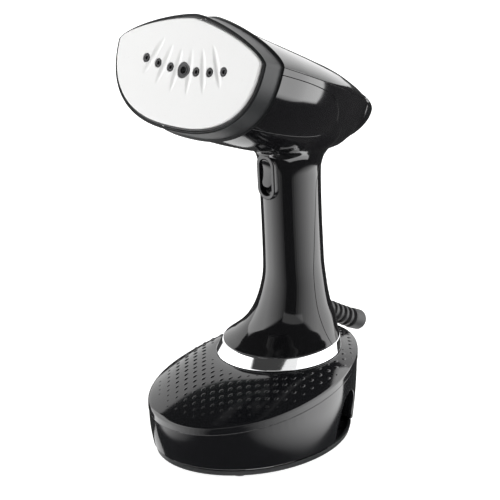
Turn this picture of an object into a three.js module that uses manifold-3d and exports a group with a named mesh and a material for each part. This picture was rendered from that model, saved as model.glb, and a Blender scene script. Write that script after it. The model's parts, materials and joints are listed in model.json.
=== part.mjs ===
// Garment steamer: a handheld steam head that stands on its own water tank.
// Millimetres. +Z is up, -Y is the front (the steam plate faces it), X is the width.

import * as THREE from 'three';
import { mergeVertices } from 'three/addons/utils/BufferGeometryUtils.js';
import Module from 'manifold-3d';

const wasm = await Module();
wasm.setup();

// ---------------------------------------------------------------- driving dimensions

const degree = Math.PI / 180;
const gap = 0.3; // clearance between touching pieces
const wall = 2.4; // thickness of the plastic shells

// Head: its own frame has x across, y back from the plate's face, z up along the plate.
const plateCentre = new THREE.Vector3(0, -65.3, 254.7);
const headPitch = 17.8 * degree;
const plateShape = { width: 60.7, top: 35.5, bottom: -30.6, shoulder: 15.4, roof: 1.4, belly: 2.45 };
const plateThickness = 4;
const holePitch = 11.1;
const holeRise = 0.003; // how fast the row of steam holes curves up from the middle
const holeLow = 3.65; // height of the middle hole in the plate's frame
const bezelFront = 1.5;
const bezelBack = 19.3;

// Head shell stations: distance back, half width, top, bottom, height of the widest line.
const headStations = [
  [19.6, 61.2, 38.6, -34.6, 16.6],
  [50, 57, 34.8, -36, 15.8],
  [85, 47.5, 31, -35, 14.8],
  [120, 33, 27.2, -30, 13.5],
  [148, 20, 22, -23, 12],
  [162, 14.5, 18.2, -14, 10],
  [180, 12, 15.4, -6, 7],
];
const headFront = 19.6;
const noseStart = 162;
const noseTip = 180;

// Handle: its frame starts at the foot, on the handle's axis, with z up along it.
const handleFoot = new THREE.Vector3(0, 38.7, 66);
const handleLean = 3.8 * degree;

// Handle stations: height, half width across, half depth, shift of the centre along y.
const handleStations = [
  [0.9, 39.2, 39.2, -14.3],
  [5, 34.6, 35, -9.6],
  [11, 30, 31, -4.8],
  [22, 24.6, 26, -2],
  [38, 21, 22.2, 0.2],
  [52, 19.6, 21.2, 0.5],
  [112, 19.6, 21.2, 0.5],
  [122, 21.3, 22.6, 1.6],
  [128, 24.6, 26, 3.4],
  [134, 29.6, 31.5, 4.4],
  [140, 31, 35, 4],
];
const ringTop = { height: 0.6, radius: 39.4, centre: -14.3 };
const ringFoot = { height: -6.7, radius: 42.3, centre: -17.4 };

// Tank: ellipses in plan, a little broader at the front. The rim lies in a plane that rises to the rear.
const tankEgg = -0.055;
const tankFoot = { width: 57.6, length: 75, height: 5 };
const tankRim = { width: 59.2, length: 79.6, height: 46.6 };
const rimRise = 0.158;
const rimBand = 5.3; // height of the cover's upright side
const tankFloor = 8;
const recess = { middle: 36.8, halfWidth: 19.6, top: 36, depth: 8 };

// Trigger, in the handle's frame.
const trigger = { height: 113.5, halfWidth: 7.8, halfHeight: 15.4, front: -23, back: -14.5 };
const flangeBack = 4.2; // how far the housing's flange reaches back from its front
const button = { height: 116, halfWidth: 4.8, halfHeight: 9.6, front: -22.6, back: -14.8 };

// ---------------------------------------------------------------- materials

function finish(color, roughness, metalness = 0) {
  return { color, roughness, metalness };
}

const glossBlack = finish(0x0b0b0d, 0.12);
const satinGrey = finish(0x35373a, 0.45);
const ceramicWhite = finish(0xf2f2f0, 0.35);
const chrome = finish(0xdadcdf, 0.08, 1);
const tankBlack = finish(0x16171a, 0.2);
const blackRubber = finish(0x141414, 0.75);
const clearSilicone = finish(0xd9d7cf, 0.5);
const castAluminium = finish(0xa9abad, 0.45, 1);
const brushedSteel = finish(0xb9babb, 0.35, 1);
const copper = finish(0xb46a3c, 0.4, 1);
const whitePlastic = finish(0xe8e6df, 0.5);
const boardGreen = finish(0x1f5a36, 0.5);
const micaSheet = finish(0xb8a98a, 0.6);

// ---------------------------------------------------------------- solids

// A closed three.js geometry as a Manifold solid.
function solid(geometry) {
  const bare = geometry.clone();
  bare.deleteAttribute('normal');
  bare.deleteAttribute('uv');
  const merged = mergeVertices(bare, 1e-4);
  return new wasm.Manifold(new wasm.Mesh({
    numProp: 3,
    vertProperties: new Float32Array(merged.attributes.position.array),
    triVerts: new Uint32Array(merged.index.array),
  }));
}

function toGeometry(body) {
  const mesh = body.getMesh();
  const geometry = new THREE.BufferGeometry();
  geometry.setAttribute('position', new THREE.BufferAttribute(new Float32Array(mesh.vertProperties), 3));
  geometry.setIndex(new THREE.BufferAttribute(new Uint32Array(mesh.triVerts), 1));
  geometry.computeVertexNormals();
  return geometry;
}

// A closed skin over rings of points, each ring with the same number of them.
function loft(rings) {
  const count = rings[0].length;
  const points = rings.flat();
  const faces = [];
  for (let i = 0; i < rings.length - 1; i += 1) {
    for (let j = 0; j < count; j += 1) {
      const next = (j + 1) % count;
      const [a, b, c, d] = [i * count + j, i * count + next, (i + 1) * count + next, (i + 1) * count + j];
      faces.push(a, b, c, a, c, d);
    }
  }
  for (const [first, inward] of [[0, true], [(rings.length - 1) * count, false]]) {
    const centre = new THREE.Vector3();
    for (let j = 0; j < count; j += 1) {
      centre.addScaledVector(points[first + j], 1 / count);
    }
    points.push(centre);
    for (let j = 0; j < count; j += 1) {
      const [a, b] = [first + j, first + ((j + 1) % count)];
      faces.push(points.length - 1, ...(inward ? [b, a] : [a, b]));
    }
  }
  let volume = 0;
  for (let k = 0; k < faces.length; k += 3) {
    const [a, b, c] = [points[faces[k]], points[faces[k + 1]], points[faces[k + 2]]];
    volume += a.dot(b.clone().cross(c));
  }
  const geometry = new THREE.BufferGeometry().setFromPoints(points);
  geometry.setIndex(volume < 0 ? faces.reverse() : faces);
  return solid(geometry);
}

// Values at a place along a table of stations, passing smoothly through each of them.
function along(stations, place) {
  const found = stations.findIndex((station) => place <= station[0]);
  const i = Math.min(Math.max(found < 0 ? stations.length : found, 1), stations.length - 1) - 1;
  const [a, b] = [stations[i], stations[i + 1]];
  const before = stations[i - 1] ?? a;
  const after = stations[i + 2] ?? b;
  const span = b[0] - a[0];
  const t = (place - a[0]) / span;
  return a.map((value, k) => {
    const leaving = ((b[k] - before[k]) / (b[0] - before[0])) * span;
    const arriving = ((after[k] - value) / (after[0] - a[0])) * span;
    const bend = value - b[k];
    const square = -3 * bend - 2 * leaving - arriving;
    const cube = 2 * bend + leaving + arriving;
    return value + t * (leaving + t * (square + t * cube));
  });
}

function steps(from, to, count) {
  return Array.from({ length: count + 1 }, (unused, i) => from + ((to - from) * i) / count);
}

function power(value, exponent) {
  return Math.sign(value) * Math.abs(value) ** exponent;
}

// Half ellipses of two heights over one width, each with its own squareness.
function shieldRing(shape, back, count = 32) {
  const ring = [];
  for (let j = 0; j < count; j += 1) {
    const angle = (2 * Math.PI * j) / count;
    const upper = Math.sin(angle) >= 0;
    const square = 2 / (upper ? shape.roof : shape.belly);
    const height = upper ? shape.top - shape.shoulder : shape.shoulder - shape.bottom;
    const x = shape.width * power(Math.cos(angle), square);
    const z = shape.shoulder + height * power(Math.sin(angle), square);
    ring.push(new THREE.Vector3(x, back, z));
  }
  return ring;
}

function grownPlate(offset) {
  return {
    ...plateShape,
    width: plateShape.width + offset,
    top: plateShape.top + offset,
    bottom: plateShape.bottom - offset,
  };
}

function plateSlab(front, back, offset, count = 40) {
  const outline = grownPlate(offset);
  return loft([shieldRing(outline, front, count), shieldRing(outline, back, count)]);
}

// The head's section at a distance back, moved in by an inset.
function headShape(back, inset = 0) {
  const [, width, top, bottom, shoulder] = along(headStations, back);
  const far = Math.max(0, (back - noseStart) / (noseTip - noseStart));
  const round = Math.sqrt(Math.max(0, 1 - far * far));
  const settle = Math.min(1, Math.max(0, (back - headFront) / 90));
  return {
    width: width * round - inset,
    top: shoulder + (top - shoulder) * round - inset,
    bottom: shoulder - (shoulder - bottom) * round + inset,
    shoulder,
    roof: plateShape.roof + 0.5 * settle,
    belly: plateShape.belly - 0.35 * settle,
  };
}

function headSolid(from, to, inset = 0, count = 32) {
  const places = steps(from, Math.min(to, noseStart), 8);
  if (to > noseStart) {
    const onNose = [0.45, 0.75, 0.92].map((t) => noseStart + t * (noseTip - noseStart));
    places.push(...onNose.filter((place) => place < to), to);
  }
  return loft(places.map((back) => shieldRing(headShape(back, inset), back, count)));
}

function ovalRing(width, depth, centre, height, count = 28) {
  const ring = [];
  for (let j = 0; j < count; j += 1) {
    const angle = (2 * Math.PI * j) / count;
    ring.push(new THREE.Vector3(width * Math.cos(angle), centre + depth * Math.sin(angle), height));
  }
  return ring;
}

function handleSolid(from, to, inset = 0) {
  const heights = handleStations.map((station) => station[0]).filter((h) => h > from && h < to);
  return loft([from, ...heights, to].map((height) => {
    const [, width, depth, shift] = along(handleStations, height);
    return ovalRing(width - inset, depth - inset, shift, height);
  }));
}

function tankRing(width, length, height, rise, count = 44) {
  const ring = [];
  for (let j = 0; j < count; j += 1) {
    const angle = (2 * Math.PI * j) / count;
    const y = length * Math.sin(angle);
    const x = width * Math.cos(angle) * (1 + tankEgg * Math.sin(angle));
    ring.push(new THREE.Vector3(x, y, height + rise * y));
  }
  return ring;
}

// A cylinder, cone or tube end, standing on a point along an axis.
function rod(radius, from, to, count = 20, endRadius = radius) {
  const [start, end] = [new THREE.Vector3(...from), new THREE.Vector3(...to)];
  const direction = end.clone().sub(start);
  const geometry = new THREE.CylinderGeometry(endRadius, radius, direction.length(), count);
  const up = new THREE.Vector3(0, 1, 0);
  const turn = new THREE.Quaternion().setFromUnitVectors(up, direction.clone().normalize());
  geometry.applyQuaternion(turn);
  geometry.translate(...start.add(end).multiplyScalar(0.5).toArray());
  return solid(geometry);
}

function pipe(outer, inner, from, to, count = 20) {
  const [start, end] = [new THREE.Vector3(...from), new THREE.Vector3(...to)];
  const past = end.clone().sub(start).normalize();
  const bore = rod(inner, start.clone().sub(past).toArray(), end.clone().add(past).toArray(), count);
  return rod(outer, from, to, count).subtract(bore);
}

function block(width, depth, height, centre) {
  return solid(new THREE.BoxGeometry(width, depth, height).translate(...centre));
}

function circle(radius, count) {
  const shape = new THREE.Shape();
  shape.absarc(0, 0, radius, 0, 2 * Math.PI, false);
  return new THREE.Shape(shape.getPoints(count / 2).slice(0, -1));
}

// A round tube through points, hollow when it has an inner radius.
function hose(points, radius, inner = 0, parts = 20, count = 10) {
  const path = new THREE.CatmullRomCurve3(points.map((point) => new THREE.Vector3(...point)));
  const swept = (r) => new THREE.ExtrudeGeometry(circle(r, count), { steps: parts, extrudePath: path });
  const outside = solid(swept(radius));
  return inner > 0 ? outside.subtract(longer(points, inner, parts, count)) : outside;
}

// The bore of a hose, run a little past both ends.
function longer(points, radius, parts, count) {
  const path = new THREE.CatmullRomCurve3(points.map((point) => new THREE.Vector3(...point)));
  const swept = new THREE.ExtrudeGeometry(circle(radius, count), { steps: parts, extrudePath: path });
  const ends = [0, 1].map((t) => {
    const at = path.getPoint(t);
    const way = path.getTangent(t).multiplyScalar(t === 0 ? -1 : 1);
    const inner = at.clone().addScaledVector(way, -0.5);
    return rod(radius, inner.toArray(), at.addScaledVector(way, 1).toArray(), count);
  });
  return solid(swept).add(ends[0]).add(ends[1]);
}

// A slot with round ends in the x-z plane, reaching from front to back along y.
function slot(halfWidth, halfHeight, front, back, height, count = 8) {
  const shape = new THREE.Shape();
  const straight = halfHeight - halfWidth;
  shape.absarc(0, straight, halfWidth, 0, Math.PI, false);
  shape.absarc(0, -straight, halfWidth, Math.PI, 2 * Math.PI, false);
  const depth = back - front;
  const geometry = new THREE.ExtrudeGeometry(shape, { depth, bevelEnabled: false, curveSegments: count });
  geometry.rotateX(Math.PI / 2);
  geometry.translate(0, back, height);
  return solid(geometry);
}

// A prism across the whole width, from an outline in the y-z plane.
function sidePrism(outline, from = -90, to = 90) {
  const shape = new THREE.Shape(outline.map(([y, z]) => new THREE.Vector2(y, z)));
  const geometry = new THREE.ExtrudeGeometry(shape, { depth: to - from, bevelEnabled: false });
  geometry.translate(0, 0, from);
  geometry.applyMatrix4(new THREE.Matrix4().makeBasis(
    new THREE.Vector3(0, 1, 0), new THREE.Vector3(0, 0, 1), new THREE.Vector3(1, 0, 0)));
  return solid(geometry);
}

// ---------------------------------------------------------------- frames

const object = new THREE.Group();

function frame(position, pitch) {
  return new THREE.Matrix4().makeRotationX(pitch).setPosition(position);
}

const headFrame = frame(plateCentre, -headPitch);
const handleFrame = frame(handleFoot, handleLean);
const handleInHead = headFrame.clone().invert().multiply(handleFrame);
const world = new THREE.Matrix4();

function moved(body, matrix) {
  return body.transform(matrix.elements);
}

function add(name, body, surface, place = world) {
  const mesh = new THREE.Mesh(toGeometry(body), new THREE.MeshStandardMaterial(surface));
  mesh.name = name;
  mesh.applyMatrix4(place);
  object.add(mesh);
}

// ---------------------------------------------------------------- head

function holeX(index) {
  return (index - 3) * holePitch;
}

function holeZ(index) {
  return holeLow + holeRise * holeX(index) ** 2;
}

function steamPlate() {
  const edge = 1;
  let plate = loft([
    shieldRing(grownPlate(-edge), 0, 48),
    shieldRing(grownPlate(0), edge, 48),
    shieldRing(grownPlate(0), plateThickness, 48),
  ]);
  for (let i = 0; i < 7; i += 1) {
    const radius = i === 3 ? 5 : 2.9;
    const [x, z] = [holeX(i), holeZ(i)];
    plate = plate.subtract(rod(radius, [x, -1, z], [x, plateThickness + 1, z], 16));
  }
  return plateScrewX.reduce((rest, x) => rest.subtract(plateScrewHole(x)), plate);
}

// Cast block behind the plate; its seven short steam tubes stand in the plate's holes.
function boilerBlock(front, back) {
  let body = plateSlab(front, back, -13, 28);
  for (let i = 0; i < 7; i += 1) {
    const [outer, inner] = i === 3 ? [3.4, 2.2] : [1.9, 1.1];
    const reach = [holeX(i), 2, holeZ(i)];
    body = body.add(rod(outer, reach, [holeX(i), front + 1, holeZ(i)], 12));
    body = body.subtract(rod(inner, [holeX(i), 1, holeZ(i)], [holeX(i), front + 8, holeZ(i)], 12));
  }
  return plateScrewX.reduce((rest, x) => rest.subtract(plateScrewHole(x)), body);
}

const plateScrewX = [-41, 41];
const plateScrewZ = 14;

function plateScrewHole(x) {
  return rod(1.8, [x, plateThickness - 2.2, plateScrewZ], [x, 40, plateScrewZ], 10);
}

function boilerCover() {
  const sheet = plateSlab(22 + gap, 24.3, -14, 28);
  return plateScrewX.reduce((rest, x) => rest.subtract(plateScrewHole(x)), sheet);
}

// Mains heater: a sheathed tube bent round behind the boiler cover.
function heatingElement() {
  const back = 28.2;
  const half = [[40, 2], [33, 11.5], [16, 15]];
  const left = half.map(([x, z]) => [-x, back, z]);
  const right = half.map(([x, z]) => [x, back, z]).reverse();
  const ends = [[34, -8], [12, -11]];
  const start = ends.map(([x, z]) => [-x, back, z]).reverse();
  const finish = ends.map(([x, z]) => [x, back, z]);
  return hose([...start, ...left, ...right, ...finish], 3.2, 0, 28, 8);
}

function thermostat() {
  return rod(8, [0, 24.6, 1], [0, 30, 1], 20).add(rod(5, [0, 29, 1], [0, 33, 1], 16));
}

function heatShield() {
  const sheet = plateSlab(36, 37, -9, 28);
  const holes = [rod(4.4, [20, 30, 0.5], [20, 40, 0.5], 16), rod(3, [-18, 30, -8], [-18, 40, -8], 12)];
  return sheet.subtract(holes[0]).subtract(holes[1]);
}

function bezel() {
  const outside = loft([
    shieldRing(grownPlate(2), bezelFront, 40),
    shieldRing(grownPlate(2.6), bezelFront + 1.2, 40),
    shieldRing(headShape(headFront), bezelBack, 40),
  ]);
  return outside.subtract(plateSlab(-1, plateThickness + gap, 1.5)).subtract(plateSlab(3, 30, -3));
}

// Height of the parting line between the top cover and the shell below it.
function partingHeight(back) {
  return 16.9 - 0.025 * (back - headFront);
}

const behindNose = noseTip + 20;
const aboveParting = [
  [headFront - 5, partingHeight(headFront - 5) + gap / 2],
  [behindNose, partingHeight(behindNose) + gap / 2],
  [behindNose, 90],
  [headFront - 5, 90],
];
const belowParting = [
  [headFront - 5, partingHeight(headFront - 5) - gap / 2],
  [headFront - 5, -200],
  [behindNose, -200],
  [behindNose, partingHeight(behindNose) - gap / 2],
];

// Outline of the side inlay in the head's y-z plane, grown by an offset.
function inlayOutline(offset) {
  const shape = new THREE.Shape();
  const front = headFront + 1.2 - offset;
  shape.moveTo(front, 12.2 + offset);
  shape.quadraticCurveTo(75, 12.4 + offset, 92 + offset, 7 + offset);
  shape.quadraticCurveTo(112 + offset, 0, 112 + offset, -10);
  shape.quadraticCurveTo(104, -22 - offset, front, -22 - offset);
  return shape.getPoints(6).map((point) => [point.x, point.y]);
}

function inlay(side) {
  const skin = headSolid(headFront, 150, 0).subtract(headSolid(headFront - 1, 151, 1.2));
  const reach = side > 0 ? [8, 90] : [-90, -8];
  return skin.intersect(sidePrism(inlayOutline(0), ...reach));
}

function inlayPocket() {
  const skin = headSolid(headFront, 150, -1).subtract(headSolid(headFront - 1, 151, 1.2 + gap));
  return skin.intersect(sidePrism(inlayOutline(gap)));
}

function headOutside() {
  return headSolid(headFront, noseTip - 0.4);
}

function headInside() {
  return headSolid(headFront - 2, noseStart + 2, wall + 0.4);
}

function topCover() {
  return headOutside().subtract(headInside()).intersect(sidePrism(aboveParting));
}

// Outline of the handle's rear cover in the handle's y-z plane.
function rearCoverOutline(offset) {
  return [
    [-6.3 + offset, -3],
    [-6.3 + offset, ringTop.height],
    [4.8 + offset, 106],
    [9 + offset, 116 - offset],
    [20, 123.5 - offset],
    [60, 123.5 - offset],
    [60, -3],
  ];
}

function handleShellParts() {
  const [top, foot] = [140, ringTop.height + gap];
  const outside = handleSolid(foot, top);
  const inside = handleSolid(foot - 2, top - 1, wall);
  return { outside, inside, foot, top };
}

// The cord's strain relief: its centre line and where its neck passes the rear cover, in the world's frame.
const reliefPath = [
  [0, 55, 79.5], [0, 64, 76.1], [0, 74, 71.2], [0, 84.5, 65.5], [0, 95, 60.2], [0, 105, 56],
];
const neckRadius = 5.6;
const cordBore = 4;
const neckHole = [[0, 54, 79.9], [0, 74, 72.3]];

function bodyShell() {
  const { outside, inside, foot, top } = handleShellParts();
  const headPart = headOutside();
  const whole = headPart.add(moved(outside, handleInHead));
  const hollow = headInside().add(moved(inside, handleInHead));
  let shell = whole.subtract(hollow).intersect(sidePrism(belowParting)).subtract(inlayPocket());
  const coverPlace = sidePrism(rearCoverOutline(-gap)).intersect(handleSolid(foot - 2, top - 1, -gap));
  shell = shell.subtract(moved(coverPlace, handleInHead));
  const { halfWidth, halfHeight, front, height } = trigger;
  const window = slot(halfWidth - 1 + gap, halfHeight - 1 + gap, -40, -10, height);
  const ledge = slot(halfWidth + gap, halfHeight + gap, -40, front + flangeBack + gap, height);
  shell = shell.subtract(moved(window.add(ledge), handleInHead));
  const bosses = [...footScrewX.map(footBoss), ...rearScrewHeights.map(frontBoss)];
  const holes = [...footScrewX.map(footScrewHole), ...rearScrewHeights.map(rearScrewHole)];
  shell = bosses.reduce((body, boss) => body.add(moved(boss.intersect(outside), handleInHead)), shell);
  return holes.reduce((body, hole) => body.subtract(moved(hole, handleInHead)), shell);
}

const footScrewX = [-25, 25];
const footScrewY = -19;
const rearScrewX = -11;
const rearScrewHeights = [20, 95];
const bossJoin = 7.8; // where the bosses of the two handle shells meet

function footBoss(x) {
  return rod(3.6, [x, footScrewY, ringTop.height + gap + 0.3], [x, footScrewY, 22], 16);
}

function footScrewHole(x) {
  return rod(1.6, [x, footScrewY, -20], [x, footScrewY, 11], 10);
}

function frontBoss(height) {
  return rod(3.4, [rearScrewX, -40, height], [rearScrewX, bossJoin - gap, height], 14);
}

function rearScrewHole(height) {
  return rod(1.6, [rearScrewX, -4, height], [rearScrewX, 60, height], 10);
}

function rearBoss(height) {
  return rod(4.4, [rearScrewX, bossJoin, height], [rearScrewX, 60, height], 16);
}

function rearCounterbore(height) {
  return rod(3.2, [rearScrewX, bossJoin + 2.6, height], [rearScrewX, 60, height], 16);
}

function rearCover() {
  const { outside, inside } = handleShellParts();
  const shell = outside.subtract(inside).intersect(sidePrism(rearCoverOutline(0)));
  const toHandle = handleFrame.clone().invert();
  const bosses = rearScrewHeights.map((height) => rearBoss(height).intersect(outside));
  const holes = [moved(rod(neckRadius + gap, ...neckHole, 20), toHandle)];
  holes.push(...rearScrewHeights.map(rearScrewHole), ...rearScrewHeights.map(rearCounterbore));
  const whole = bosses.reduce((body, boss) => body.add(boss), shell);
  return holes.reduce((body, hole) => body.subtract(hole), whole);
}

// ---------------------------------------------------------------- handle

function trimRing() {
  const outer = loft([
    ovalRing(ringFoot.radius, ringFoot.radius, ringFoot.centre, ringFoot.height, 48),
    ovalRing(ringTop.radius, ringTop.radius, ringTop.centre, ringTop.height, 48),
  ]);
  const inner = loft([
    ovalRing(ringFoot.radius - 4, ringFoot.radius - 4, ringFoot.centre, ringFoot.height - 1, 48),
    ovalRing(ringTop.radius - 4, ringTop.radius - 4, ringTop.centre, ringTop.height + 1, 48),
  ]);
  return outer.subtract(inner);
}

const bossRadius = 19;
const bossDepth = 11;

// Plate that closes the handle's foot, with a round boss that stands in the tank's well.
function footPlate() {
  const radius = ringTop.radius - 4 - gap;
  const centre = (ringTop.centre + ringFoot.centre) / 2;
  const plate = loft([
    ovalRing(radius, radius, centre, ringFoot.height + gap, 40),
    ovalRing(radius, radius, centre, ringFoot.height + 3, 40),
  ]);
  const well = ringFoot.centre;
  const low = ringFoot.height - bossDepth;
  const boss = rod(bossRadius, [0, well, low], [0, well, ringFoot.height + 2], 32);
  const hollow = rod(bossRadius - 2.5, [0, well, low + 2.5], [0, well, 5], 28);
  let body = plate.add(boss).subtract(hollow);
  body = body.subtract(rod(nozzle.radius + gap, [0, well, low - 5], [0, well, 5], 20));
  for (const x of footScrewX) {
    body = body.subtract(rod(1.6, [x, footScrewY, -20], [x, footScrewY, 5], 10));
    body = body.subtract(rod(3.2, [x, footScrewY, -20], [x, footScrewY, screwSeat], 16));
  }
  return body;
}

const screwSeat = ringFoot.height + 2.2;
const nozzle = { radius: 3, bore: 1.7, tip: -25, top: 6 };

// Spout under the foot that stands in the tank's valve and feeds the pump.
function dockingNozzle() {
  const y = ringFoot.centre;
  const { radius, bore, tip, top } = nozzle;
  const low = ringFoot.height - bossDepth + 2.8;
  const flange = rod(8, [0, y, low], [0, y, low + 1.8], 24);
  const passage = rod(bore, [0, y, -60], [0, y, 20], 16);
  return rod(radius, [0, y, tip], [0, y, top], 20).add(flange).subtract(passage);
}

// A pan-head screw at the origin, its shank up the z axis.
function screw(length) {
  return rod(1.3, [0, 0, 0], [0, 0, length], 8).add(rod(2.9, [0, 0, -1.6], [0, 0, 0.01], 12));
}

function triggerHousing() {
  const { height, halfWidth, halfHeight, front, back } = trigger;
  let body = slot(halfWidth - 1, halfHeight - 1, front, back, height);
  body = body.add(slot(halfWidth, halfHeight, front + 1, front + flangeBack, height));
  const open = button.halfWidth + gap;
  body = body.subtract(slot(open, button.halfHeight + gap, front - 1, back + 1, button.height));
  const [end, y, z] = [open - 0.2, front - 1.4, height - 9.5];
  const scoop = rod(6.2, [-end, y, z], [end, y, z], 24);
  return body.subtract(scoop.intersect(slot(open, 12.6, front - 9, back - 2, height)));
}

function triggerButton() {
  const { height, halfWidth, halfHeight, front, back } = button;
  const body = slot(halfWidth, halfHeight, front, back, height);
  const dish = rod(30, [-9, front - 28.8, height], [9, front - 28.8, height], 72);
  return body.subtract(dish);
}

// A helical spring along y.
function coil(radius, wire, from, to, turns, centreZ) {
  const count = turns * 8;
  const points = steps(0, 1, count).map((t) => {
    const angle = 2 * Math.PI * turns * t;
    const [x, z] = [radius * Math.cos(angle), centreZ + radius * Math.sin(angle)];
    return new THREE.Vector3(x, from + (to - from) * t, z);
  });
  const path = new THREE.CatmullRomCurve3(points);
  return solid(new THREE.ExtrudeGeometry(circle(wire, 6), { steps: count, extrudePath: path }));
}

// Plate behind the trigger that carries its spring and the microswitch.
function switchBracket() {
  return block(14, 1.6, 30, [0, bracketFront + 0.8, 113]);
}

const bracketFront = -7;
const springHeight = 110.4;
const switchHeight = 121;

function microswitch() {
  const back = bracketFront - gap;
  const body = block(7, 3.4, 9, [0, back - 1.7, switchHeight]);
  return body.add(rod(0.9, [0, back - 4.3, switchHeight], [0, back - 3, switchHeight], 10));
}

const pump = { low: 28, top: 94, coilLow: 46.3, coilTop: 73.7 };

function pumpTube() {
  const barbs = [rod(2.4, [0, 0, pump.low], [0, 0, 36], 16), rod(2.4, [0, 0, 86], [0, 0, pump.top], 16)];
  const body = rod(5.4, [0, 0, 34], [0, 0, 88], 20).add(barbs[0]).add(barbs[1]);
  return body.subtract(rod(1.4, [0, 0, 20], [0, 0, 100], 12));
}

function pumpFrame() {
  const thick = 1.6;
  const ends = [pump.coilLow - gap - thick / 2, pump.coilTop + gap + thick / 2];
  const back = block(22, thick, ends[1] - ends[0] + thick, [0, 12.1, (ends[0] + ends[1]) / 2]);
  const plates = ends.map((height) => block(22, 23, thick, [0, 1.4, height]));
  const body = back.add(plates[0]).add(plates[1]);
  return body.subtract(rod(5.4 + gap, [0, 0, 30], [0, 0, 90], 20));
}

function pumpMount(low) {
  return pipe(12.5, 5.4 + gap, [0, 0, low], [0, 0, low + 4], 20);
}

function controlBoard() {
  const board = block(15, 1.6, 34, [2.5, 13, 102]);
  const relay = block(9, 5, 12, [2.5, 9.8, 93]);
  return board.add(relay).add(block(12, 3, 5, [2.5, 10.8, 112]));
}

// Silicone tube from the pump up to the boiler, in the head's frame.
function outletTube() {
  return hose([
    [0, 121.8, -59.6], [2, 114.4, -40.7], [8, 105, -21], [15, 84, -11],
    [20, 60, -4], [20, 40, 0], [20, 25, 1],
  ], 3, 1.7, 14, 8);
}

function inletTube() {
  const y = ringFoot.centre;
  const ends = [[0, y, nozzle.top + 2 * gap], [0, 0, pump.low - 2 * gap]];
  return hose([ends[0], [0, y, 11], [0, y / 2, 17.5], [0, 0, 23], ends[1]],
    2.8, 1.6, 8, 8);
}

// Leads from the board to the thermostat and heater, in the head's frame.
function heaterLeads() {
  return hose([
    [-4, 119.5, -33], [-9, 111, -18], [-15, 90, -8], [-18, 60, -8], [-18, 33, -8],
  ], 1.6, 0, 20, 8);
}

// A round skin along a path, its radius given at places from 0 to 1 of the path's length.
function sleeve(points, profile, count) {
  const path = new THREE.CatmullRomCurve3(points.map((point) => new THREE.Vector3(...point)));
  return loft(profile.map(([t, radius]) => {
    const at = path.getPointAt(t);
    const way = path.getTangentAt(t);
    const side = new THREE.Vector3(1, 0, 0);
    const up = way.clone().cross(side);
    return Array.from({ length: count }, (unused, j) => {
      const angle = (2 * Math.PI * j) / count;
      const across = at.clone().addScaledVector(side, radius * Math.cos(angle));
      return across.addScaledVector(up, radius * Math.sin(angle));
    });
  }));
}

// Collar inside the rear cover, then the ribbed sleeve and its smooth end outside it, bored for the cord.
function strainRelief() {
  const profile = [[0, 6.2], [0.025, 6.2], [0.03, neckRadius]];
  for (let rib = 0; rib < 5; rib += 1) {
    const start = 0.255 + rib * 0.103;
    const radius = 6.3 + rib * 0.15;
    profile.push([start, 4.9], [start + 0.012, radius], [start + 0.058, radius], [start + 0.07, 4.9]);
  }
  profile.push([0.775, 4.9], [0.79, 6.9], [0.82, 7.2], [0.97, 7.1], [1, 6.2]);
  return sleeve(reliefPath, profile, 14).subtract(longer(reliefPath, cordBore, 8, 14));
}

function cordClamp() {
  const [y, z] = [45, 78.5];
  const posts = block(3, 5, 9, [-6.3, y, z]).add(block(3, 5, 9, [6.3, y, z]));
  return posts.add(block(15.6, 5, 2.4, [0, y, z - 3.8])).add(block(15.6, 5, 2.4, [0, y, z + 3.8]));
}

// ---------------------------------------------------------------- tank

// The seat's outline in the world's frame: a circle square to the handle's axis.
function seatRing(radius, lower, count = 44) {
  return ovalRing(radius, radius, ringFoot.centre, ringFoot.height - gap - lower, count)
    .map((point) => point.applyMatrix4(handleFrame));
}

// The cover's outside, from the seam up over the rim to the seat, moved in by an inset.
function coverSolid(inset) {
  const { width, length, height } = tankRim;
  const rim = tankRing(width - inset, length - inset, height - inset * 0.6, rimRise);
  const seat = seatRing(ringFoot.radius + 0.6 - inset * 0.4, inset);
  const rings = [
    tankRing(width - inset, length - inset, height - rimBand + gap - inset * 2, rimRise),
    tankRing(width - inset, length - inset, height - 1.6 - inset * 0.6, rimRise),
  ];
  for (const t of [0, 0.05, 0.17, 0.38, 0.66, 1]) {
    const lift = 1 - (1 - t) ** 1.45;
    rings.push(rim.map((point, j) => {
      const between = point.clone().lerp(seat[j], t);
      between.z = point.z + (seat[j].z - point.z) * lift;
      return between;
    }));
  }
  return loft(rings);
}

const well = { radius: bossRadius + gap + 0.3, depth: bossDepth + 1.2 };

function inHandle(x, y, z) {
  return new THREE.Vector3(x, y, z).applyMatrix4(handleFrame).toArray();
}

function wellRod(radius, from, to, count = 32) {
  return rod(radius, inHandle(0, ringFoot.centre, from), inHandle(0, ringFoot.centre, to), count);
}

const seatHeight = ringFoot.height - gap;
const wellFloor = seatHeight - well.depth;

function tankCover() {
  let body = coverSolid(0).subtract(coverSolid(wall));
  body = body.add(wellRod(well.radius + 2.2, wellFloor - 2.2, seatHeight - 1.5));
  body = body.subtract(wellRod(well.radius, wellFloor, seatHeight + 3));
  body = body.subtract(wellRod(6.3, wellFloor - 6, wellFloor + 3, 20));
  return body;
}

const filler = { radius: 8, height: 39, face: 79.4 };

function fillerPlug() {
  const { radius, height, face } = filler;
  const stem = rod(radius - 1, [0, face - 7, height], [0, face + 0.7, height], 24, radius);
  return stem.add(rod(radius + 1.5, [0, face + 0.6, height], [0, face + 2.6, height], 24));
}

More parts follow.
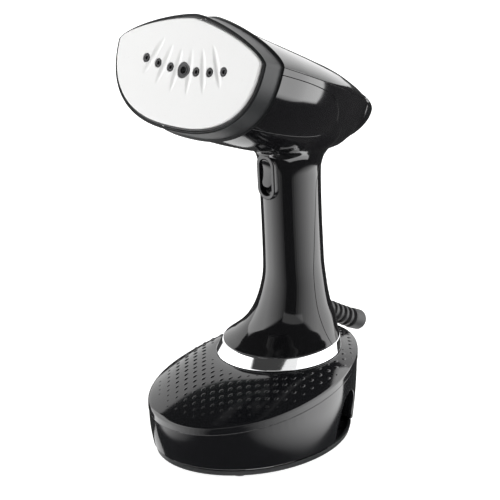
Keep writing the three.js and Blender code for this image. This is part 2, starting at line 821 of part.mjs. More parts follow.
function tankSide(inset, from, over = 0) {
  const { width, length, height } = tankFoot;
  const top = {
    width: tankRim.width - 0.4,
    length: tankRim.length - 0.4,
    height: tankRim.height - rimBand,
  };
  return loft([0, 0.35, 0.7, 1].map((t) => {
    const swell = 0.7 * Math.sin(Math.PI * t);
    const ringWidth = width + (top.width - width) * t + swell - inset;
    const ringLength = length + (top.length - length) * t + swell - inset;
    return tankRing(ringWidth, ringLength, from + (top.height + over - from) * t, rimRise * t);
  }));
}

// Finger recess: an arch seen from the side, whose back follows the tank's side at an even depth.
function recessPocket(side, grow) {
  const { middle, halfWidth, top, depth } = recess;
  const shape = new THREE.Shape();
  shape.moveTo(middle - halfWidth - grow, -10);
  shape.lineTo(middle + halfWidth + grow, -10);
  shape.absellipse(middle, 0, halfWidth + grow, top + grow, 0, Math.PI, false, 0);
  const outline = shape.getPoints(9).map((point) => [point.x, point.y]);
  const reach = side > 0 ? [8, 90] : [-90, -8];
  return sidePrism(outline, ...reach).subtract(tankSide(depth + grow, -6, 8));
}

function tankBody() {
  let cavity = tankSide(wall, tankFloor, 2);
  let body = tankSide(0, tankFoot.height);
  for (const side of [1, -1]) {
    cavity = cavity.subtract(recessPocket(side, 2.2));
    body = body.subtract(recessPocket(side, 0));
  }
  const { radius, height, face } = filler;
  body = body.subtract(rod(radius + gap, [0, face - 9, height], [0, face + 9, height], 24));
  return body.subtract(cavity);
}

function tankGasket() {
  const { width, length, height } = tankRim;
  const low = height - rimBand - 1.6;
  const high = height - rimBand + 2;
  const ring = (inset, over) => loft([
    tankRing(width - inset, length - inset, low - over, rimRise, 40),
    tankRing(width - inset, length - inset, high + over, rimRise, 40),
  ]);
  return ring(wall + 1.4, 0).subtract(ring(wall + 3.4, 1));
}

function footRing() {
  const { width, length, height } = tankFoot;
  const outer = loft([
    tankRing(width - 1.8, length - 1.8, 0.8, 0, 48),
    tankRing(width - 0.8, length - 0.8, height - gap, 0, 48),
  ]);
  const inner = loft([
    tankRing(width - 14, length - 14, 0, 0, 40),
    tankRing(width - 14, length - 14, height + 1, 0, 40),
  ]);
  let body = outer.subtract(inner);
  for (const [x, y] of padPlaces) {
    body = body.subtract(rod(5 + gap, [x, y, -1], [x, y, 2.2 + gap], 20));
  }
  return body;
}

const padPlaces = [[-34, -51], [34, -51], [-32, 51], [32, 51]];

const valve = { radius: 6, bore: 4.4, top: wellFloor + 0.3, floor: -28, outlet: -36 };

// Socket under the well's floor that takes the docking nozzle.
function valveSocket() {
  const { radius, bore, top, floor, outlet } = valve;
  const tube = wellRod(radius, floor - 2, top + 0.2, 16).add(wellRod(8.4, top, top + 0.8, 16));
  const body = tube.add(wellRod(2.8, outlet, floor, 10));
  const spout = wellRod(1.5, outlet - 2, floor + 1, 8);
  return body.subtract(wellRod(bore, floor, top + 5, 16)).subtract(spout);
}

function valveSeal() {
  const { floor } = valve;
  return wellRod(4.1, floor + gap, floor + 1.8, 20).subtract(wellRod(1.2, floor - 1, floor + 3, 10));
}

function dockingSeal() {
  return pipe(4.1, nozzle.radius + gap, [0, ringFoot.centre, -23.4], [0, ringFoot.centre, -21.4], 20);
}

const weight = { radius: 4.6, front: -42, back: -26 };

function suctionTube() {
  const [x, y, z] = inHandle(0, ringFoot.centre, valve.outlet - 2 * gap);
  const low = tankFloor + gap + weight.radius;
  return hose([
    [x, y, z], [x, y + 0.3, z - 5], [x, 16, low + 1], [x, -5, low], [x, weight.back + gap, low],
  ], 2.8, 1.5, 10, 8);
}

function filterWeight() {
  const low = tankFloor + gap + weight.radius;
  const body = rod(weight.radius, [0, weight.front, low], [0, weight.back, low], 20);
  return body.subtract(rod(1.5, [0, weight.front + 3, low], [0, weight.back + 5, low], 12));
}

// ---------------------------------------------------------------- assembly

const inWorldX = (x, y, z, turn) => new THREE.Matrix4().makeRotationX(turn).setPosition(x, y, z);

add('steam_plate', steamPlate(), ceramicWhite, headFrame);
const gasket = plateSlab(1.8, plateThickness, 1.2).subtract(plateSlab(0, 6, gap));
add('plate_gasket', gasket, blackRubber, headFrame);
add('head_bezel', bezel(), satinGrey, headFrame);
add('boiler_block', boilerBlock(plateThickness + gap, 22), castAluminium, headFrame);
add('boiler_cover', boilerCover(), brushedSteel, headFrame);
add('heating_element', heatingElement(), brushedSteel, headFrame);
add('thermostat', thermostat(), brushedSteel, headFrame);
add('thermal_fuse', rod(2.2, [-6, 27, -11.5], [6, 27, -11.5], 12), whitePlastic, headFrame);
add('heat_shield', heatShield(), micaSheet, headFrame);
for (const [side, x] of [['left', plateScrewX[0]], ['right', plateScrewX[1]]]) {
  const place = headFrame.clone().multiply(inWorldX(x, 24.6, plateScrewZ, Math.PI / 2));
  add(`plate_screw_${side}`, screw(22), brushedSteel, place);
}
add('head_top_cover', topCover(), glossBlack, headFrame);
add('side_inlay_right', inlay(1), glossBlack, headFrame);
add('side_inlay_left', inlay(-1), glossBlack, headFrame);
add('outlet_tube', outletTube(), clearSilicone, headFrame);
add('heater_leads', heaterLeads(), whitePlastic, headFrame);
add('body_shell', bodyShell(), glossBlack, headFrame);

add('handle_rear_cover', rearCover(), glossBlack, handleFrame);
for (const [place, height] of [['lower', rearScrewHeights[0]], ['upper', rearScrewHeights[1]]]) {
  const seat = handleFrame.clone().multiply(inWorldX(rearScrewX, bossJoin + 2.9, height, Math.PI / 2));
  add(`rear_screw_${place}`, screw(13), brushedSteel, seat);
}
add('trigger_housing', triggerHousing(), tankBlack, handleFrame);
add('trigger_button', triggerButton(), tankBlack, handleFrame);
const springEnds = [button.back + gap + 0.4, bracketFront - gap - 0.4];
add('trigger_spring', coil(2.6, 0.4, ...springEnds, 4, springHeight), brushedSteel, handleFrame);
add('switch_bracket', switchBracket(), whitePlastic, handleFrame);
add('microswitch', microswitch(), blackRubber, handleFrame);
add('pump_tube', pumpTube(), whitePlastic, handleFrame);
const winding = pipe(10.6, 5.4 + gap, [0, 0, pump.coilLow], [0, 0, pump.coilTop], 24);
add('pump_coil', winding, copper, handleFrame);
add('pump_frame', pumpFrame(), brushedSteel, handleFrame);
add('pump_mount_lower', pumpMount(38), blackRubber, handleFrame);
add('pump_mount_upper', pumpMount(79), blackRubber, handleFrame);
add('inlet_tube', inletTube(), clearSilicone, handleFrame);
add('control_board', controlBoard(), boardGreen, handleFrame);
add('cord_clamp', cordClamp(), whitePlastic);
add('strain_relief', strainRelief(), blackRubber);
add('trim_ring', trimRing(), chrome, handleFrame);
add('foot_plate', footPlate(), satinGrey, handleFrame);
add('docking_nozzle', dockingNozzle(), whitePlastic, handleFrame);
add('docking_seal', dockingSeal(), clearSilicone, handleFrame);
for (const [side, x] of [['left', footScrewX[0]], ['right', footScrewX[1]]]) {
  const seat = handleFrame.clone().multiply(inWorldX(x, footScrewY, screwSeat - gap, 0));
  add(`foot_screw_${side}`, screw(12), brushedSteel, seat);
}

add('tank_cover', tankCover(), tankBlack);
add('tank_body', tankBody(), tankBlack);
add('tank_gasket', tankGasket(), blackRubber);
add('valve_socket', valveSocket(), whitePlastic);
add('valve_seal', valveSeal(), clearSilicone);
add('suction_tube', suctionTube(), clearSilicone);
add('filter_weight', filterWeight(), brushedSteel);
add('filler_plug', fillerPlug(), blackRubber);
add('foot_ring', footRing(), satinGrey);
const padNames = ['front_left', 'front_right', 'rear_left', 'rear_right'];
padPlaces.forEach(([x, y], i) => {
  add(`foot_pad_${padNames[i]}`, rod(5, [x, y, 0], [x, y, 2.2], 20), blackRubber);
});

// The object stands centred over the origin.
const bounds = new THREE.Box3().setFromObject(object, true);
object.position.set(0, -(bounds.min.y + bounds.max.y) / 2, -bounds.min.z);

export default object;
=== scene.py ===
"""Garment steamer on its water tank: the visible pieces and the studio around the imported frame."""
import json
import math

import bpy
import numpy as np
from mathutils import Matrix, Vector
from mathutils.geometry import delaunay_2d_cdt


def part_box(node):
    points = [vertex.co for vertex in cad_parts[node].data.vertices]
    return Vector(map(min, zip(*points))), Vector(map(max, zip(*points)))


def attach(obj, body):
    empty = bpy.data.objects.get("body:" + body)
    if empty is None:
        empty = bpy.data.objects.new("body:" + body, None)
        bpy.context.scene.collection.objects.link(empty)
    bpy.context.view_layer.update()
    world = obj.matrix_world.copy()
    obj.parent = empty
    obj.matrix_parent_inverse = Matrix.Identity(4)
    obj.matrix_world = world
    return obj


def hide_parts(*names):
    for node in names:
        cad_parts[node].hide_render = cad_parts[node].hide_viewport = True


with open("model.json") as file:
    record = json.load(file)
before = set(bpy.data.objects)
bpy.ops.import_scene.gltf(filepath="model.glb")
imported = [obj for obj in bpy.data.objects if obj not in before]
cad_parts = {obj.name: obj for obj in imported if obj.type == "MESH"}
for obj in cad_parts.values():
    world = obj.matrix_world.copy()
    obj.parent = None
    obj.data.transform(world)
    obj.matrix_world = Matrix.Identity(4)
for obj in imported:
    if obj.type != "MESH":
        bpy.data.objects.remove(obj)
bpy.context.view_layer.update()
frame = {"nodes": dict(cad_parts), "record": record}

# ---------------- driving sizes, in millimetres

GAP = 0.3
PLATE = dict(width=60.7, top=35.5, bottom=-30.6, shoulder=15.4, roof=1.4, belly=2.45)
PLATE_CENTRE, HEAD_PITCH = np.array([0, -65.3, 254.7]), math.radians(-17.8)
PLATE_THICKNESS = 4.0
HOLE_PITCH, HOLE_RISE, HOLE_LOW = 11.1, 0.003, 3.65
BEZEL_FRONT, BEZEL_BACK = 1.5, 19.3
HEAD_FRONT, NOSE_START, NOSE_TIP = 19.6, 162.0, 180.0
HEAD_STATIONS = np.array([
    [19.6, 61.2, 38.6, -34.6, 16.6],
    [50, 57, 34.8, -36, 15.8],
    [85, 47.5, 31, -35, 14.8],
    [120, 33, 27.2, -30, 13.5],
    [148, 20, 22, -23, 12],
    [162, 14.5, 18.2, -14, 10],
    [180, 12, 15.4, -6, 7],
])  # distance back, half width, top, bottom, height of the widest line
HANDLE_FOOT, HANDLE_LEAN = np.array([0, 38.7, 66]), math.radians(3.8)
HANDLE_STATIONS = np.array([
    [0.9, 39.2, 39.2, -14.3],
    [5, 34.6, 35, -9.6],
    [11, 30, 31, -4.8],
    [22, 24.6, 26, -2],
    [38, 21, 22.2, 0.2],
    [52, 19.6, 21.2, 0.5],
    [112, 19.6, 21.2, 0.5],
    [122, 21.3, 22.6, 1.6],
    [128, 24.6, 26, 3.4],
    [134, 29.6, 31.5, 4.4],
    [140, 31, 35, 4],
])  # height, half width, half depth, shift along y
RING_TOP = dict(height=0.6, radius=39.4, centre=-14.3)
RING_FOOT = dict(height=-6.7, radius=42.3, centre=-17.4)
REAR_SEAM = np.array([[0.6, -6.3], [106, 4.8], [116, 9], [123.5, 20]])  # height, y in the handle's frame
TANK_EGG = -0.055
TANK_FOOT = dict(width=57.6, length=75.0, height=5.0)
TANK_RIM = dict(width=59.2, length=79.6, height=46.6)
RIM_RISE, RIM_BAND = 0.158, 5.3
RECESS = dict(middle=36.8, half_width=19.6, top=36.0, depth=8.0)
TRIGGER = dict(height=113.5, half_width=7.8, half_height=15.4, front=-23.0, back=4.2)
BUTTON = dict(height=116.0, half_width=4.8, half_height=9.6, front=-22.6, back=-14.8)
FILLER = dict(radius=8.0, height=39.0, face=79.4)
PADS = dict(front_left=(-34, -51), front_right=(34, -51), rear_left=(-32, 51), rear_right=(32, 51))
RELIEF_PATH = np.array([[55, 79.5], [64, 76.1], [74, 71.2], [84.5, 65.5], [95, 60.2], [105, 56]])
NECK_RADIUS = 5.6

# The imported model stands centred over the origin, so a pad tells how far it was moved along y.
pad_low, pad_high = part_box("foot_pad_front_right")
SHIFT_Y = 1000 * (pad_low.y + pad_high.y) / 2 - PADS["front_right"][1]


# ---------------- frames and curves

class Place:
    """A frame turned about x and moved, in millimetres."""

    def __init__(self, origin, angle):
        c, s = math.cos(angle), math.sin(angle)
        self.turn = np.array([[1, 0, 0], [0, c, -s], [0, s, c]])
        self.origin = np.asarray(origin, float)

    def out(self, points):
        return points @ self.turn.T + self.origin

    def way(self, vectors):
        return vectors @ self.turn.T

    def inside(self, points):
        return (points - self.origin) @ self.turn


HEAD = Place(PLATE_CENTRE, HEAD_PITCH)
HANDLE = Place(HANDLE_FOOT, HANDLE_LEAN)
WORLD = Place((0, 0, 0), 0)


def along(stations, places):
    """Rows of values at places along a table of stations, passing smoothly through each of them."""
    places = np.atleast_1d(np.asarray(places, float))
    i = np.clip(np.searchsorted(stations[:, 0], places, side="left"), 1, len(stations) - 1) - 1
    a, b = stations[i], stations[i + 1]
    before = stations[np.maximum(i - 1, 0)]
    after = stations[np.minimum(i + 2, len(stations) - 1)]
    span = (b[:, 0] - a[:, 0])[:, None]
    t = (places[:, None] - a[:, :1]) / span
    leaving = (b - before) / (b[:, :1] - before[:, :1]) * span
    arriving = (after - a) / (after[:, :1] - a[:, :1]) * span
    bend = a - b
    return a + t * (leaving + t * (-3 * bend - 2 * leaving - arriving + t * (2 * bend + leaving + arriving)))


def unit(vectors):
    size = np.linalg.norm(vectors, axis=-1, keepdims=True)
    return vectors / np.where(size < 1e-12, 1, size)


def power(value, exponent):
    return np.sign(value) * np.abs(value) ** exponent


def smooth_step(value):
    t = np.clip(value, 0, 1)
    return t * t * (3 - 2 * t)


def turns(count):
    """Angles once round, without the last one, which repeats the first."""
    return np.linspace(0, 2 * math.pi, count, endpoint=False)


def travelled(points):
    """Distance along a polyline at each of its points."""
    return np.r_[0, np.cumsum(np.linalg.norm(np.diff(points, axis=0), axis=1))]


def spaced(values, points, count, closed=False):
    """Values at even distances along a polyline; a closed one leaves out its end."""
    lengths = travelled(points)
    return np.interp(np.linspace(0, lengths[-1], count, endpoint=not closed), lengths, values)


def pairs(first, second):
    """Two columns, of which one may be a single number."""
    return np.column_stack(np.broadcast_arrays(first, second))


def joined(*stretches):
    """A closed outline from stretches that each end where the next one starts."""
    return np.vstack([stretch[:-1] for stretch in stretches])


def bow(start, control, end, t):
    """A curve from start to end that is pulled towards control."""
    return (1 - t) ** 2 * start + 2 * t * (1 - t) * control + t * t * end


def halved(low, high, rounds, reached):
    """Closes in on where reached turns from false, at low, to true, at high."""
    for _ in range(rounds):
        middle = (low + high) / 2
        found = reached(middle)
        low, high = np.where(found, low, middle), np.where(found, middle, high)
    return low, high


# ---------------- meshes

WELD = 2e-3
SHARED_NORMAL = math.cos(math.radians(35))


class Skin:
    """Points with their shading normals, and faces, gathered for one mesh."""

    def __init__(self, place=WORLD):
        self.place, self.points, self.normals, self.faces, self.count = place, [], [], [], 0

    def add(self, points, normals, faces):
        self.points.append(self.place.out(points.reshape(-1, 3)))
        self.normals.append(self.place.way(unit(normals.reshape(-1, 3))))
        self.faces.extend((faces + self.count).tolist())
        self.count += len(self.points[-1])

    def grid(self, points, normals, closed=False, keep=None):
        """A sheet of quads over rows and columns of points, wound to agree with its normals."""
        rows, cols = points.shape[:2]
        i, j = np.mgrid[:rows - 1, :cols if closed else cols - 1]
        i, j = (i.ravel(), j.ravel()) if keep is None else (i[keep], j[keep])
        k = (j + 1) % cols
        faces = np.column_stack([i * cols + j, i * cols + k, (i + 1) * cols + k, (i + 1) * cols + j])
        flat, ways = points.reshape(-1, 3), normals.reshape(-1, 3)
        a, b, c, d = (flat[faces[:, n]] for n in range(4))
        if (np.cross(c - a, d - b) * ways[faces[:, 0]]).sum() < 0:
            faces = faces[:, ::-1]
        self.add(points, normals, faces)

    def build(self, name, body, slot, *replaced, material=None):
        """Welds the points, keeps separate normals only at sharp corners, and hands the mesh to its body."""
        points, normals = np.vstack(self.points), np.vstack(self.normals)
        _, first, same = np.unique(np.round(points / WELD), axis=0, return_index=True, return_inverse=True)
        same = same.reshape(-1)
        total = np.zeros((len(first), 3))
        np.add.at(total, same, normals)
        shared = unit(total)[same]
        normals = np.where((shared * normals).sum(-1, keepdims=True) > SHARED_NORMAL, shared, normals)
        faces, corners = [], []
        for face in self.faces:
            ring = [i for k, i in enumerate(face) if same[i] != same[face[k - 1]]]
            if len(ring) > 2 and len({same[i] for i in ring}) == len(ring):
                faces.append([same[i] for i in ring])
                corners.extend(ring)
        used = np.zeros(len(first), bool)
        used[[v for face in faces for v in face]] = True
        index = np.cumsum(used) - 1
        faces = [[int(index[v]) for v in face] for face in faces]
        placed = (points[first][used] + [0, SHIFT_Y, 0]) / 1000
        mesh = bpy.data.meshes.new(name)
        mesh.from_pydata(placed.tolist(), [], faces)
        mesh.shade_smooth()
        mesh.normals_split_custom_set(normals[corners].tolist())
        obj = bpy.data.objects.new(name, mesh)
        bpy.context.scene.collection.objects.link(obj)
        mesh.materials.append(material or SLOT_MATERIALS[slot])
        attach(obj, body)
        if replaced:
            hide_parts(*replaced)


def round_piece(place, points, normals, *names):
    """A piece made of one closed grid of rings."""
    skin = Skin(place)
    skin.grid(points, normals, closed=True)
    skin.build(*names)


def ring_normals(rings, row):
    """Normals of rings of points that start at +x, outwards: row is one whose outside faces +x there."""
    across = (np.roll(rings, -1, axis=1) - np.roll(rings, 1, axis=1)) / 2
    normals = unit(np.cross(np.gradient(rings, axis=0), across))
    return normals if normals[row, 0, 0] > 0 else -normals


ROLL = [(math.sin(a), 1 - math.cos(a), a) for a in (math.pi / 6, math.pi / 3, math.pi / 2)]


def rolled(edge, normals, outward, radius, depth):
    """Rings that round an edge over and carry it inwards: lists of points and of normals."""
    radius = np.broadcast_to(np.asarray(radius, float), (len(edge),))[:, None]
    depth = np.broadcast_to(np.asarray(depth, float), (len(edge),))[:, None]
    rings, ways = [], []
    for out, drop, angle in ROLL:
        rings.append(edge + outward * radius * out - normals * radius * drop)
        ways.append(np.where(radius > 0, normals * math.cos(angle) + outward * math.sin(angle), normals))
    rings.append(edge + outward * radius - normals * np.maximum(depth, radius))
    ways.append(np.where(radius > 0, outward, normals))
    return rings, ways


def with_rolls(points, normals, sides, radius, depth):
    """A grid with some edges rounded over: sides 0 and 1 end the rows, 2 and 3 the columns."""
    for side in sides:
        if side >= 2:
            points, normals = points.transpose(1, 0, 2), normals.transpose(1, 0, 2)
        at, inner = (0, 1) if side % 2 == 0 else (-1, -2)
        outward = points[at] - points[inner]
        outward = unit(outward - normals[at] * (outward * normals[at]).sum(-1, keepdims=True))
        rings, ways = rolled(points[at], normals[at], outward, radius, depth)
        if side % 2 == 0:
            points, normals = np.vstack([rings[::-1], points]), np.vstack([ways[::-1], normals])
        else:
            points, normals = np.vstack([points, rings]), np.vstack([normals, ways])
        if side >= 2:
            points, normals = points.transpose(1, 0, 2), normals.transpose(1, 0, 2)
    return points, normals


def revolve(profile, count, centre, axis="z"):
    """Rings of points round an axis from (radius, distance) pairs, and their normals."""
    angle = turns(count)
    slope = np.gradient(profile, axis=0)
    side = unit(pairs(slope[:, 1], -slope[:, 0]))

    def spun(table):
        a, b, c = table[:, :1] * np.cos(angle), table[:, :1] * np.sin(angle), table[:, 1:] + 0 * angle
        return np.stack([a, b, c] if axis == "z" else [a, c, b], axis=-1)

    return spun(profile) + np.asarray(centre, float), spun(side)


def rounded(corners, radius, steps=4):
    """An open outline with its inner corners rounded, by one radius or by one for each."""
    corners = np.array(corners, float)
    radii = np.broadcast_to(radius, len(corners) - 2)
    out = [corners[0]]
    for before, corner, after, most in zip(corners, corners[1:], corners[2:], radii):
        back, ahead = before - corner, after - corner
        cut = min(most, 0.45 * np.linalg.norm(back), 0.45 * np.linalg.norm(ahead))
        start, end = corner + unit(back) * cut, corner + unit(ahead) * cut
        out.extend(bow(start, corner, end, t) for t in np.linspace(0, 1, steps + 1))
    return np.array(out + [corners[-1]])


def within(points, loop):
    """Which 2-D points lie inside a closed outline."""
    x, y = points[:, :1], points[:, 1:]
    x0, y0 = loop[:, 0], loop[:, 1]
    x1, y1 = np.roll(x0, -1), np.roll(y0, -1)
    crossing = (y0 > y) != (y1 > y)
    left = x < (x1 - x0) * (y - y0) / np.where(y1 == y0, 1, y1 - y0) + x0
    return (crossing & left).sum(axis=1) % 2 == 1


def clearance(points, loops):
    """Distance from 2-D points to the nearest corner of some outlines."""
    corners = np.vstack(loops)
    best = np.full(len(points), 1e9)
    for start in range(0, len(corners), 200):
        part = corners[start:start + 200]
        best = np.minimum(best, np.linalg.norm(points[:, None] - part[None], axis=-1).min(axis=1))
    return best


def surface_frame(surface, u, v, step_u, step_v):
    """Points of a surface, and its normals from small steps along u and v."""
    along_u = surface(u + step_u, v) - surface(u - step_u, v)
    along_v = surface(u, v + step_v) - surface(u, v - step_v)
    return surface(u, v), unit(np.cross(along_u, along_v))


class Patch:
    """A surface over a plane region: an outline, then its holes, all counterclockwise."""

    def __init__(self, surface, loops, spacing, steps=(0.02, 0.02)):
        def in_region(points):
            return within(points, loops[0]) & ~np.any([within(points, hole) for hole in loops[1:]], axis=0)

        scale = np.array(spacing, float)
        low, high = loops[0].min(axis=0), loops[0].max(axis=0)
        rows = [np.arange(low[k] + scale[k] / 2, high[k], scale[k]) for k in range(2)]
        inner = np.stack(np.meshgrid(*rows, indexing="ij"), axis=-1).reshape(-1, 2)
        inner = inner[in_region(inner)]
        inner = inner[clearance(inner / scale, [loop / scale for loop in loops]) > 0.6]
        edges = []
        for loop in loops:
            start, size = len(edges), len(loop)
            edges.extend((start + k, start + (k + 1) % size) for k in range(size))
        flat = np.vstack([*loops, inner]) / scale
        result = delaunay_2d_cdt([Vector(p) for p in flat.tolist()], edges, [], 0, 1e-7, True)
        where = np.array([p[:] for p in result[0]]) * scale
        faces = np.array([f for f in result[2] if len(f) == 3])
        faces = faces[in_region(where[faces].mean(axis=1))]
        a, b, c = (where[faces[:, k]] for k in range(3))
        turn = (b[:, 0] - a[:, 0]) * (c[:, 1] - a[:, 1]) - (b[:, 1] - a[:, 1]) * (c[:, 0] - a[:, 0])
        faces[turn < 0] = faces[turn < 0][:, ::-1]
        self.faces, self.loops, self.surface, self.steps = faces, loops, surface, steps
        self.points, self.normals = surface_frame(surface, where[:, 0], where[:, 1], *steps)

    def edge(self, number):
        """A loop's points, normals and the way out of the region along the surface."""
        loop = self.loops[number]
        points, normals = surface_frame(self.surface, loop[:, 0], loop[:, 1], *self.steps)
        tangent = unit(np.roll(points, -1, axis=0) - points) + unit(points - np.roll(points, 1, axis=0))
        outward = unit(np.cross(unit(tangent), normals))
        return points, normals, outward if number == 0 else -outward

    def into(self, skin, flip=False):
        faces = self.faces[:, ::-1] if flip else self.faces
        skin.add(self.points, -self.normals if flip else self.normals, faces)

    def roll_into(self, skin, number, radius, depth, flip=False, floor=None):
        """Rounds a loop over into its gap or hole; floor gives the last ring's points."""
        points, normals, outward = self.edge(number)
        normals = -normals if flip else normals
        rings, ways = rolled(points, normals, outward, radius, depth)
        if floor is not None:
            rings[-1] = floor(rings[-2])
        skin.grid(np.array([points] + rings), np.array([normals] + ways), closed=True)


def ccw(loop):
    x, y = loop[:, 0], loop[:, 1]
    area = (x * np.roll(y, -1) - np.roll(x, -1) * y).sum()
    return loop if area > 0 else loop[::-1]


def stadium(half_width, half_height, centre, count):
    """Outline of a slot with round ends in x and z, counterclockwise."""
    straight = half_height - half_width
    arc = np.linspace(0, math.pi, count)
    x, rise = half_width * np.cos(arc), straight + half_width * np.sin(arc)
    outline = np.vstack([pairs(x, centre + rise), pairs(-x, centre - rise)])
    outline = np.vstack([outline, outline[:1]])
    return np.column_stack([spaced(column, outline, 4 * count, True) for column in outline.T])


def circle(radius, centre, count):
    angle = turns(count)
    return pairs(centre[0] + radius * np.cos(angle), centre[1] + radius * np.sin(angle))


# ---------------- camera

VIEW_AZIMUTH, VIEW_ELEVATION = math.radians(43.976), math.radians(17.101)
VIEW_DISTANCE, VIEW_LENS = 1.0868, 120.85
VIEW_TARGET = Vector((0, (SHIFT_Y - 5.964) / 1000, 0.131957))


def direction(azimuth, elevation):
    """Unit vector from the object, clockwise from its front and up from the floor, in radians."""
    level = math.cos(elevation)
    return Vector((math.sin(azimuth) * level, -math.cos(azimuth) * level, math.sin(elevation)))


view_back = direction(VIEW_AZIMUTH, VIEW_ELEVATION)
camera = bpy.data.objects.new("camera", bpy.data.cameras.new("camera"))
bpy.context.scene.collection.objects.link(camera)
camera.data.lens = VIEW_LENS
camera.data.sensor_width = 36
camera.location = VIEW_TARGET + view_back * VIEW_DISTANCE
camera.rotation_euler = (-view_back).to_track_quat("-Z", "Y").to_euler()
bpy.context.scene.camera = camera


# ---------------- materials

class Nodes:
    """A principled material and a short way to add nodes to it."""

    def __init__(self, name, color, roughness, **sockets):
        self.material = bpy.data.materials.new(name)
        self.material.use_nodes = True
        self.tree = self.material.node_tree
        self.shader = self.tree.nodes["Principled BSDF"]
        self.set(self.shader, Roughness=roughness, **{"Base Color": (*color, 1), **sockets})
        self.coordinates = self.tree.nodes.new("ShaderNodeTexCoord").outputs["Object"]

    def set(self, node, **values):
        for name, value in values.items():
            socket = node.inputs[name]
            if isinstance(value, bpy.types.NodeSocket):
                self.tree.links.new(value, socket)
            else:
                socket.default_value = value
        return node

    def new(self, kind, **values):
        return self.set(self.tree.nodes.new(kind), **values)

    def noise(self, scale, detail, stretch=None):
        where = self.coordinates
        if stretch:
            where = self.new("ShaderNodeMapping", Vector=where, Scale=stretch).outputs["Vector"]
        return self.new("ShaderNodeTexNoise", Vector=where, Scale=scale, Detail=detail).outputs["Fac"]

    def between(self, factor, low, high, start=0.3, end=0.7):
        limits = {"From Min": start, "From Max": end, "To Min": low, "To Max": high}
        return self.new("ShaderNodeMapRange", Value=factor, **limits).outputs["Result"]

    def finish(self, tone, first, second, roughness, relief, depth):
        """Two tones mixed by a factor, the roughness, and a relief some metres deep."""
        mix = self.tree.nodes.new("ShaderNodeMix")
        mix.data_type = "RGBA"
        self.set(mix, Factor=tone, A=(*first, 1), B=(*second, 1))
        bump = self.new("ShaderNodeBump", Height=relief, Distance=depth, Strength=1.0)
        tinted, normal = mix.outputs["Result"], bump.outputs["Normal"]
        self.set(self.shader, Roughness=roughness, Normal=normal, **{"Base Color": tinted})
        return self.material


def drifting(name, color, roughness, cloud, swing, tone, relief, depth, **sockets):
    """A surface whose sheen and tone drift with a cloud of noise: swing and tone say how far."""
    nodes = Nodes(name, color, roughness, **sockets)
    drift = nodes.noise(*cloud)
    sheen = nodes.between(drift, roughness * swing[0], roughness * swing[1])
    other = tuple(min(1, c * tone) for c in color)
    return nodes.finish(drift, color, other, sheen, nodes.noise(*relief), depth)


def gloss_plastic(name, color, roughness):
    """Polished moulded plastic: faint mould waves, and a sheen that varies where it has been handled."""
    polish = {"IOR": 1.5, "Specular IOR Level": 0.5}
    return drifting(name, color, roughness, (18, 4), (0.85, 1.25), 1.25, (55, 2), 0.00002, **polish)


def grained(name, color, roughness, grain=1400, depth=0.00003, spread=0.15, **sockets):
    """Satin moulded plastic or rubber with a fine spark-eroded grain."""
    return drifting(name, color, roughness, (30, 4), (0.9, 1.1), 1 + spread, (grain, 2), depth, **sockets)


def metal(name, color, roughness, stretch=(1, 1, 60), scale=90, depth=0.000008):
    """Bare or plated metal with fine drawn lines."""
    lines = (scale, 4, stretch)
    return drifting(name, color, roughness, lines, (0.8, 1.3), 0.92, lines, depth, Metallic=1.0)


def ceramic(name, color, speckle):
    """Fired ceramic coat: white with a faint speckle, slightly uneven under a hard gloss."""
    nodes = Nodes(name, color, 0.3, **{"Coat Weight": 0.35, "Coat Roughness": 0.12})
    tone = nodes.between(nodes.noise(900, 2), 0, 1, 0.62, 0.75)
    sheen = nodes.between(nodes.noise(25, 3), 0.28, 0.31)
    return nodes.finish(tone, color, speckle, sheen, nodes.noise(260, 3), 0.00001)


SLOT_MATERIALS = dict(
    ceramic_plate=ceramic("ceramic_white", (0.585, 0.585, 0.58), (0.555, 0.555, 0.55)),
    gloss_black=gloss_plastic("gloss_black", (0.004, 0.004, 0.0045), 0.08),
    tank_black=gloss_plastic("smoky_black", (0.005, 0.0052, 0.006), 0.09),
    bezel_grey=grained("satin_grey", (0.013, 0.0137, 0.0145), 0.42, **{"Specular IOR Level": 0.25}),
    chrome_trim=metal("polished_chrome", (0.9, 0.905, 0.91), 0.05, (1, 1, 8), 60, 0.000003),
    black_rubber=grained("black_rubber", (0.016, 0.016, 0.017), 0.55, 900, 0.00004),
    silicone=grained("silicone", (0.62, 0.61, 0.58), 0.4, 700, 0.00003),
    cast_alloy=grained("cast_alloy", (0.42, 0.43, 0.44), 0.45, 500, 0.00008, Metallic=1.0),
    steel=metal("brushed_steel", (0.6, 0.61, 0.62), 0.3),
    winding=metal("copper_winding", (0.62, 0.3, 0.15), 0.35, (1, 1, 40), 200, 0.00003),
    white_plastic=grained("white_plastic", (0.75, 0.74, 0.7), 0.45),
    circuit_green=grained("circuit_board", (0.03, 0.14, 0.06), 0.4, 300, 0.00002, 0.4),
    mica=grained("mica_sheet", (0.5, 0.42, 0.3), 0.5, 200, 0.00004, 0.3),
)
SLOT_MATERIALS["foot_grey"] = SLOT_MATERIALS["bezel_grey"]
SOOT = grained("oxidised_alloy", (0.02, 0.02, 0.021), 0.6, 400, 0.00006, 0.5)
for part in frame["record"]["subparts"]:
    node = frame["nodes"][part["node"]]
    node.data.materials.clear()
    node.data.materials.append(SLOT_MATERIALS[part["material_slot"]])


# ---------------- the steam plate and its bezel

def shield(shape, angle):
    """Half ellipses of two heights over one width, each with its own squareness: x and z."""
    upper = np.sin(angle) >= 0
    square = np.where(upper, 2 / shape["roof"], 2 / shape["belly"])
    height = np.where(upper, shape["top"] - shape["shoulder"], shape["shoulder"] - shape["bottom"])
    x = shape["width"] * power(np.cos(angle), square)
    z = shape["shoulder"] + height * power(np.sin(angle), square)
    return np.stack([x, z], axis=-1)


